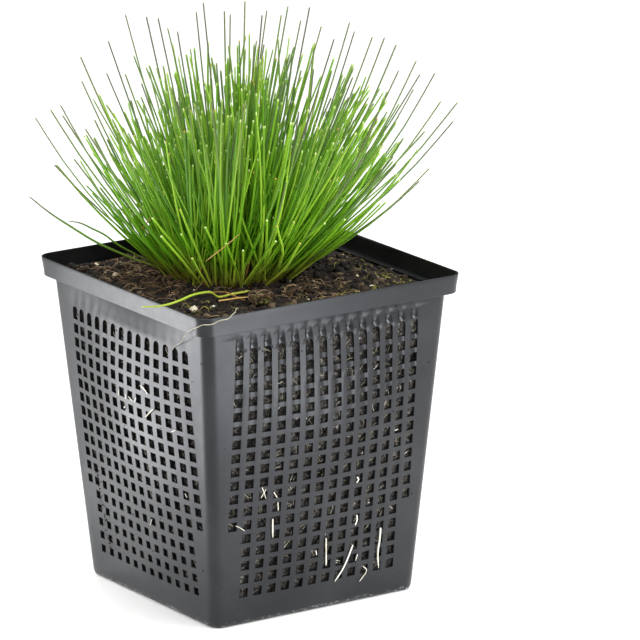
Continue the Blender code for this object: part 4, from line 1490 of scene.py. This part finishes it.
@dataclass
class Roots:
    """Roots on and behind the walls, and the strand that crosses the rim at the front corner."""

    shell: BasketShell = field(default_factory=BasketShell)
    strand: tuple[tuple[float, float, float], ...] = (
        (-29.9, -38.0, 114.6), (-34.2, -45.3, 117.8), (-38.0, -50.8, 119.9), (-41.4, -54.6, 119.9),
        (-43.6, -55.7, 119.4), (-46.3, -56.0, 118.3), (-51.0, -55.8, 117.5), (-54.7, -54.0, 117.2),
        (-56.0, -49.2, 114.7), (-55.8, -44.2, 111.4), (-53.6, -39.0, 107.7), (-52.8, -32.6, 104.2),
        (-52.4, -27.2, 99.4))

    # Across the wall and up it, in millimetres, with the root's thickness: the wall that faces -Y
    right_wall: tuple[tuple[tuple[tuple[float, float], ...], float], ...] = (
        (((-22.2, 39.4), (-22.0, 36.0), (-21.7, 32.2)), 0.42), (((0.7, 28.1), (1.3, 22.0), (1.8, 17.2)), 0.42),
        (((13.0, 23.1), (11.1, 18.1), (9.2, 14.2), (6.3, 10.0)), 0.36),
        (((25.2, 27.3), (25.1, 22.8), (24.7, 17.5), (25.6, 11.6)), 0.46),
        (((18.6, 13.7), (20.3, 11.5), (17.5, 7.8)), 0.28), (((13.7, 34.6), (14.0, 32.6), (13.3, 30.7)), 0.34),
        (((-36.6, 38.8), (-34.8, 37.8), (-33.0, 36.4)), 0.24), (((-22.3, 49.5), (-20.8, 47.2)), 0.3),
        (((-20.5, 45.4), (-20.1, 42.2)), 0.34), (((12.5, 49.5), (13.2, 48.4), (12.4, 47.2)), 0.34),
        (((-3.1, 24.0), (-2.7, 22.1)), 0.24), (((-27.0, 52.0), (-26.0, 49.6), (-25.2, 47.4)), 0.2),
        (((-27.2, 48.0), (-25.4, 51.2)), 0.2), (((15.6, 18.9), (14.9, 16.6)), 0.2),
    )
    # The same for the wall that faces -X
    left_wall: tuple[tuple[tuple[tuple[float, float], ...], float], ...] = (
        (((11.8, 85.4), (13.8, 84.6), (16.0, 83.1)), 0.36), (((19.1, 78.2), (16.6, 76.4), (13.8, 74.1)), 0.36),
        (((-3.3, 80.3), (-3.5, 77.9)), 0.28), (((1.5, 79.8), (1.3, 77.8)), 0.26), (((3.4, 79.2), (5.7, 78.2)), 0.26),
        (((8.3, 79.9), (7.0, 77.9)), 0.26), (((-0.8, 74.0), (0.5, 75.0)), 0.22), (((28.3, 71.8), (30.6, 72.9)), 0.24),
        (((9.2, 34.2), (7.2, 31.4)), 0.2), (((32.1, 49.5), (33.0, 48.1)), 0.2),
    )
    behind_count: int = 400
    seed: int = 63

    def on_walls(self) -> None:
        """Lays the seen roots against the two front walls. The four long ones stand for their nodes."""
        draw = random.Random(self.seed)
        for side, name, roots in ((0, "right", self.right_wall), (3, "left", self.left_wall)):
            strands = []
            for places, radius in roots:
                out = (radius + 0.12) * MM
                points = [self.shell.on_wall(side, u * MM, z * MM, out) for u, z in places]
                strands.append(Strand(np.array([tuple(p) for p in points]), 0.72 * radius * MM,
                                      draw.uniform(0.6, 0.95)))
            nodes = ("wall_root_1", "wall_root_2", "wall_root_3", "wall_root_4") if side == 0 else ()
            finish_piece(ROOT_FORM.lay(f"{name}_wall_roots", strands), Finishes.ROOT_SKIN, *nodes)

    def behind_holes(self) -> None:
        """Threads root ends and fibres between the peat and the holes on all four sides."""
        draw = random.Random(self.seed + 1)
        strands = []
        for side in range(4):
            for _ in range(self.behind_count):
                u, z = draw.uniform(-38.0, 38.0) * MM, draw.uniform(13.0, 103.0) * MM
                heading = draw.gauss(math.pi / 2.0, 0.9)
                length = draw.uniform(2.5, 8.0) * MM
                points = []
                for step in range(4):
                    inside = -draw.uniform(1.2, 1.9) * MM
                    points.append(tuple(self.shell.on_wall(side, u, z, inside)))
                    u += math.cos(heading) * length / 3.0
                    z += math.sin(heading) * length / 3.0
                    heading += draw.uniform(-0.6, 0.6)
                strands.append(Strand(np.array(points), draw.uniform(0.06, 0.17) * MM, draw.random() ** 2.2))
        finish_piece(FIBRE_FORM.lay("roots_behind_holes", strands), Finishes.ROOT_SKIN)

    def over_rim(self) -> None:
        """Lays the pale strand from the peat over the rim and down beside the front corner."""
        draw = random.Random(self.seed + 2)
        route = []
        for near, far in zip(self.strand, self.strand[1:]):
            route += [near, [(a + b) / 2.0 + draw.uniform(-0.45, 0.45) for a, b in zip(near, far)]]
        strand = Strand(np.array(route + [self.strand[-1]]) * MM, 0.16 * MM, 0.36)
        finish_piece(LONG_FORM.lay("root_strand_over_rim", [strand]), Finishes.ROOT_SKIN, "root_strand")

    def build(self) -> None:
        """Builds all of the roots."""
        self.on_walls()
        self.behind_holes()
        self.over_rim()


# The studio

@dataclass
class Studio:
    """Camera, soft lights and a pale floor."""

    position: tuple[float, float, float] = (-1.3099, -2.0120, 0.7552)
    aim: tuple[float, float, float] = (0.0212, -0.0138, 0.0980)
    roll: float = math.radians(-0.37)
    lens: float = 389.6
    sensor: float = 36.0
    floor_side: float = 9.0

    def camera(self) -> None:
        """Places the camera at the photograph's distance and angle."""
        data = bpy.data.cameras.new("camera")
        data.lens = self.lens
        data.sensor_width = self.sensor
        data.clip_end = 50.0
        camera = bpy.data.objects.new("camera", data)
        bpy.context.scene.collection.objects.link(camera)
        place = Vector(self.position)
        ahead = (Vector(self.aim) - place).normalized()
        right = ahead.cross(Vector((0.0, 0.0, 1.0))).normalized()
        up = right.cross(ahead)
        c, s = math.cos(self.roll), math.sin(self.roll)
        turn = Matrix((right * c + up * s, up * c - right * s, -ahead)).transposed()
        camera.matrix_world = Matrix.Translation(place) @ turn.to_4x4()
        bpy.context.scene.camera = camera

    def floor(self) -> None:
        """Lays a plain pale floor under the basket."""
        bm = bmesh.new()
        bmesh.ops.create_grid(bm, x_segments=1, y_segments=1, size=self.floor_side / 2.0)
        mesh = bpy.data.meshes.new("studio_floor")
        bm.to_mesh(mesh)
        bm.free()
        floor = link_piece("studio_floor", mesh)
        paint = bpy.data.materials.new("matte white floor")
        paint.use_nodes = True
        shader = paint.node_tree.nodes["Principled BSDF"]
        shader.inputs["Base Color"].default_value = linear("#f4f4f3")
        shader.inputs["Roughness"].default_value = 0.9
        mesh.materials.append(paint)

    def light(self, name: str, azimuth: float, elevation: float, distance: float, size: tuple[float, float],
              radiance: float) -> None:
        """Adds one soft rectangular light that faces the object.

        Args:
            name: The light's name.
            azimuth: Bearing in degrees, 0 in front of the wall that faces -Y, positive towards +X.
            elevation: Degrees over the horizon.
            distance: Metres from the object.
            size: Width and height of the rectangle, in metres.
            radiance: How bright its face looks, where 1 is a sheet that shows as white.
        """
        data = bpy.data.lights.new(name, "AREA")
        data.shape = "RECTANGLE"
        data.size, data.size_y = size
        data.energy = radiance * math.pi * size[0] * size[1]
        lamp = bpy.data.objects.new(name, data)
        bpy.context.scene.collection.objects.link(lamp)
        turn, rise = math.radians(azimuth), math.radians(elevation)
        out = Vector((math.sin(turn) * math.cos(rise), -math.cos(turn) * math.cos(rise), math.sin(rise)))
        centre = Vector((0.0, 0.0, 0.1))
        lamp.location = centre + out * distance
        lamp.rotation_euler = out.to_track_quat("Z", "Y").to_euler()

    def world(self) -> None:
        """Surrounds the object with even white light, and shows colours as they are."""
        scene = bpy.context.scene
        scene.world = scene.world or bpy.data.worlds.new("studio")
        scene.world.use_nodes = True
        sky = scene.world.node_tree.nodes["Background"]
        sky.inputs["Color"].default_value = (1.0, 1.0, 1.0, 1.0)
        sky.inputs["Strength"].default_value = 0.55
        scene.view_settings.view_transform = "Standard"

    def build(self) -> None:
        """Builds the whole studio."""
        self.camera()
        self.floor()
        self.world()
        self.light("low panel on the left", -121.0, -18.0, 0.17, (0.11, 0.098), 7.0)
        self.light("low panel on the right", 9.0, -8.0, 0.22, (0.11, 0.12), 6.0)
        self.light("left softbox", -105.0, 22.0, 1.2, (0.5, 0.5), 2.6)
        self.light("key softbox", -46.0, 38.0, 1.3, (0.2, 0.2), 40.0)
        self.light("glint softbox", 37.0, 27.0, 0.6, (0.13, 0.21), 27.0)
        self.light("near overhead softbox", -20.0, 76.0, 0.42, (0.24, 0.24), 3.8)
        self.light("top softbox", 20.0, 76.0, 1.4, (0.9, 0.9), 2.0)
        self.light("back softbox", 147.0, 52.0, 1.4, (0.7, 0.7), 6.5)


def main() -> None:
    """Builds every piece in order."""
    logging.basicConfig(level=logging.INFO, format="%(message)s")
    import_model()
    Studio().build()
    MeshBasket().build()
    peat = PeatBed()
    peat.build()
    SurfaceLitter(peat).build()
    CulmTuft().build()
    SingleCulms().build()
    Roots().build()


if __name__ == "__main__":
    main()
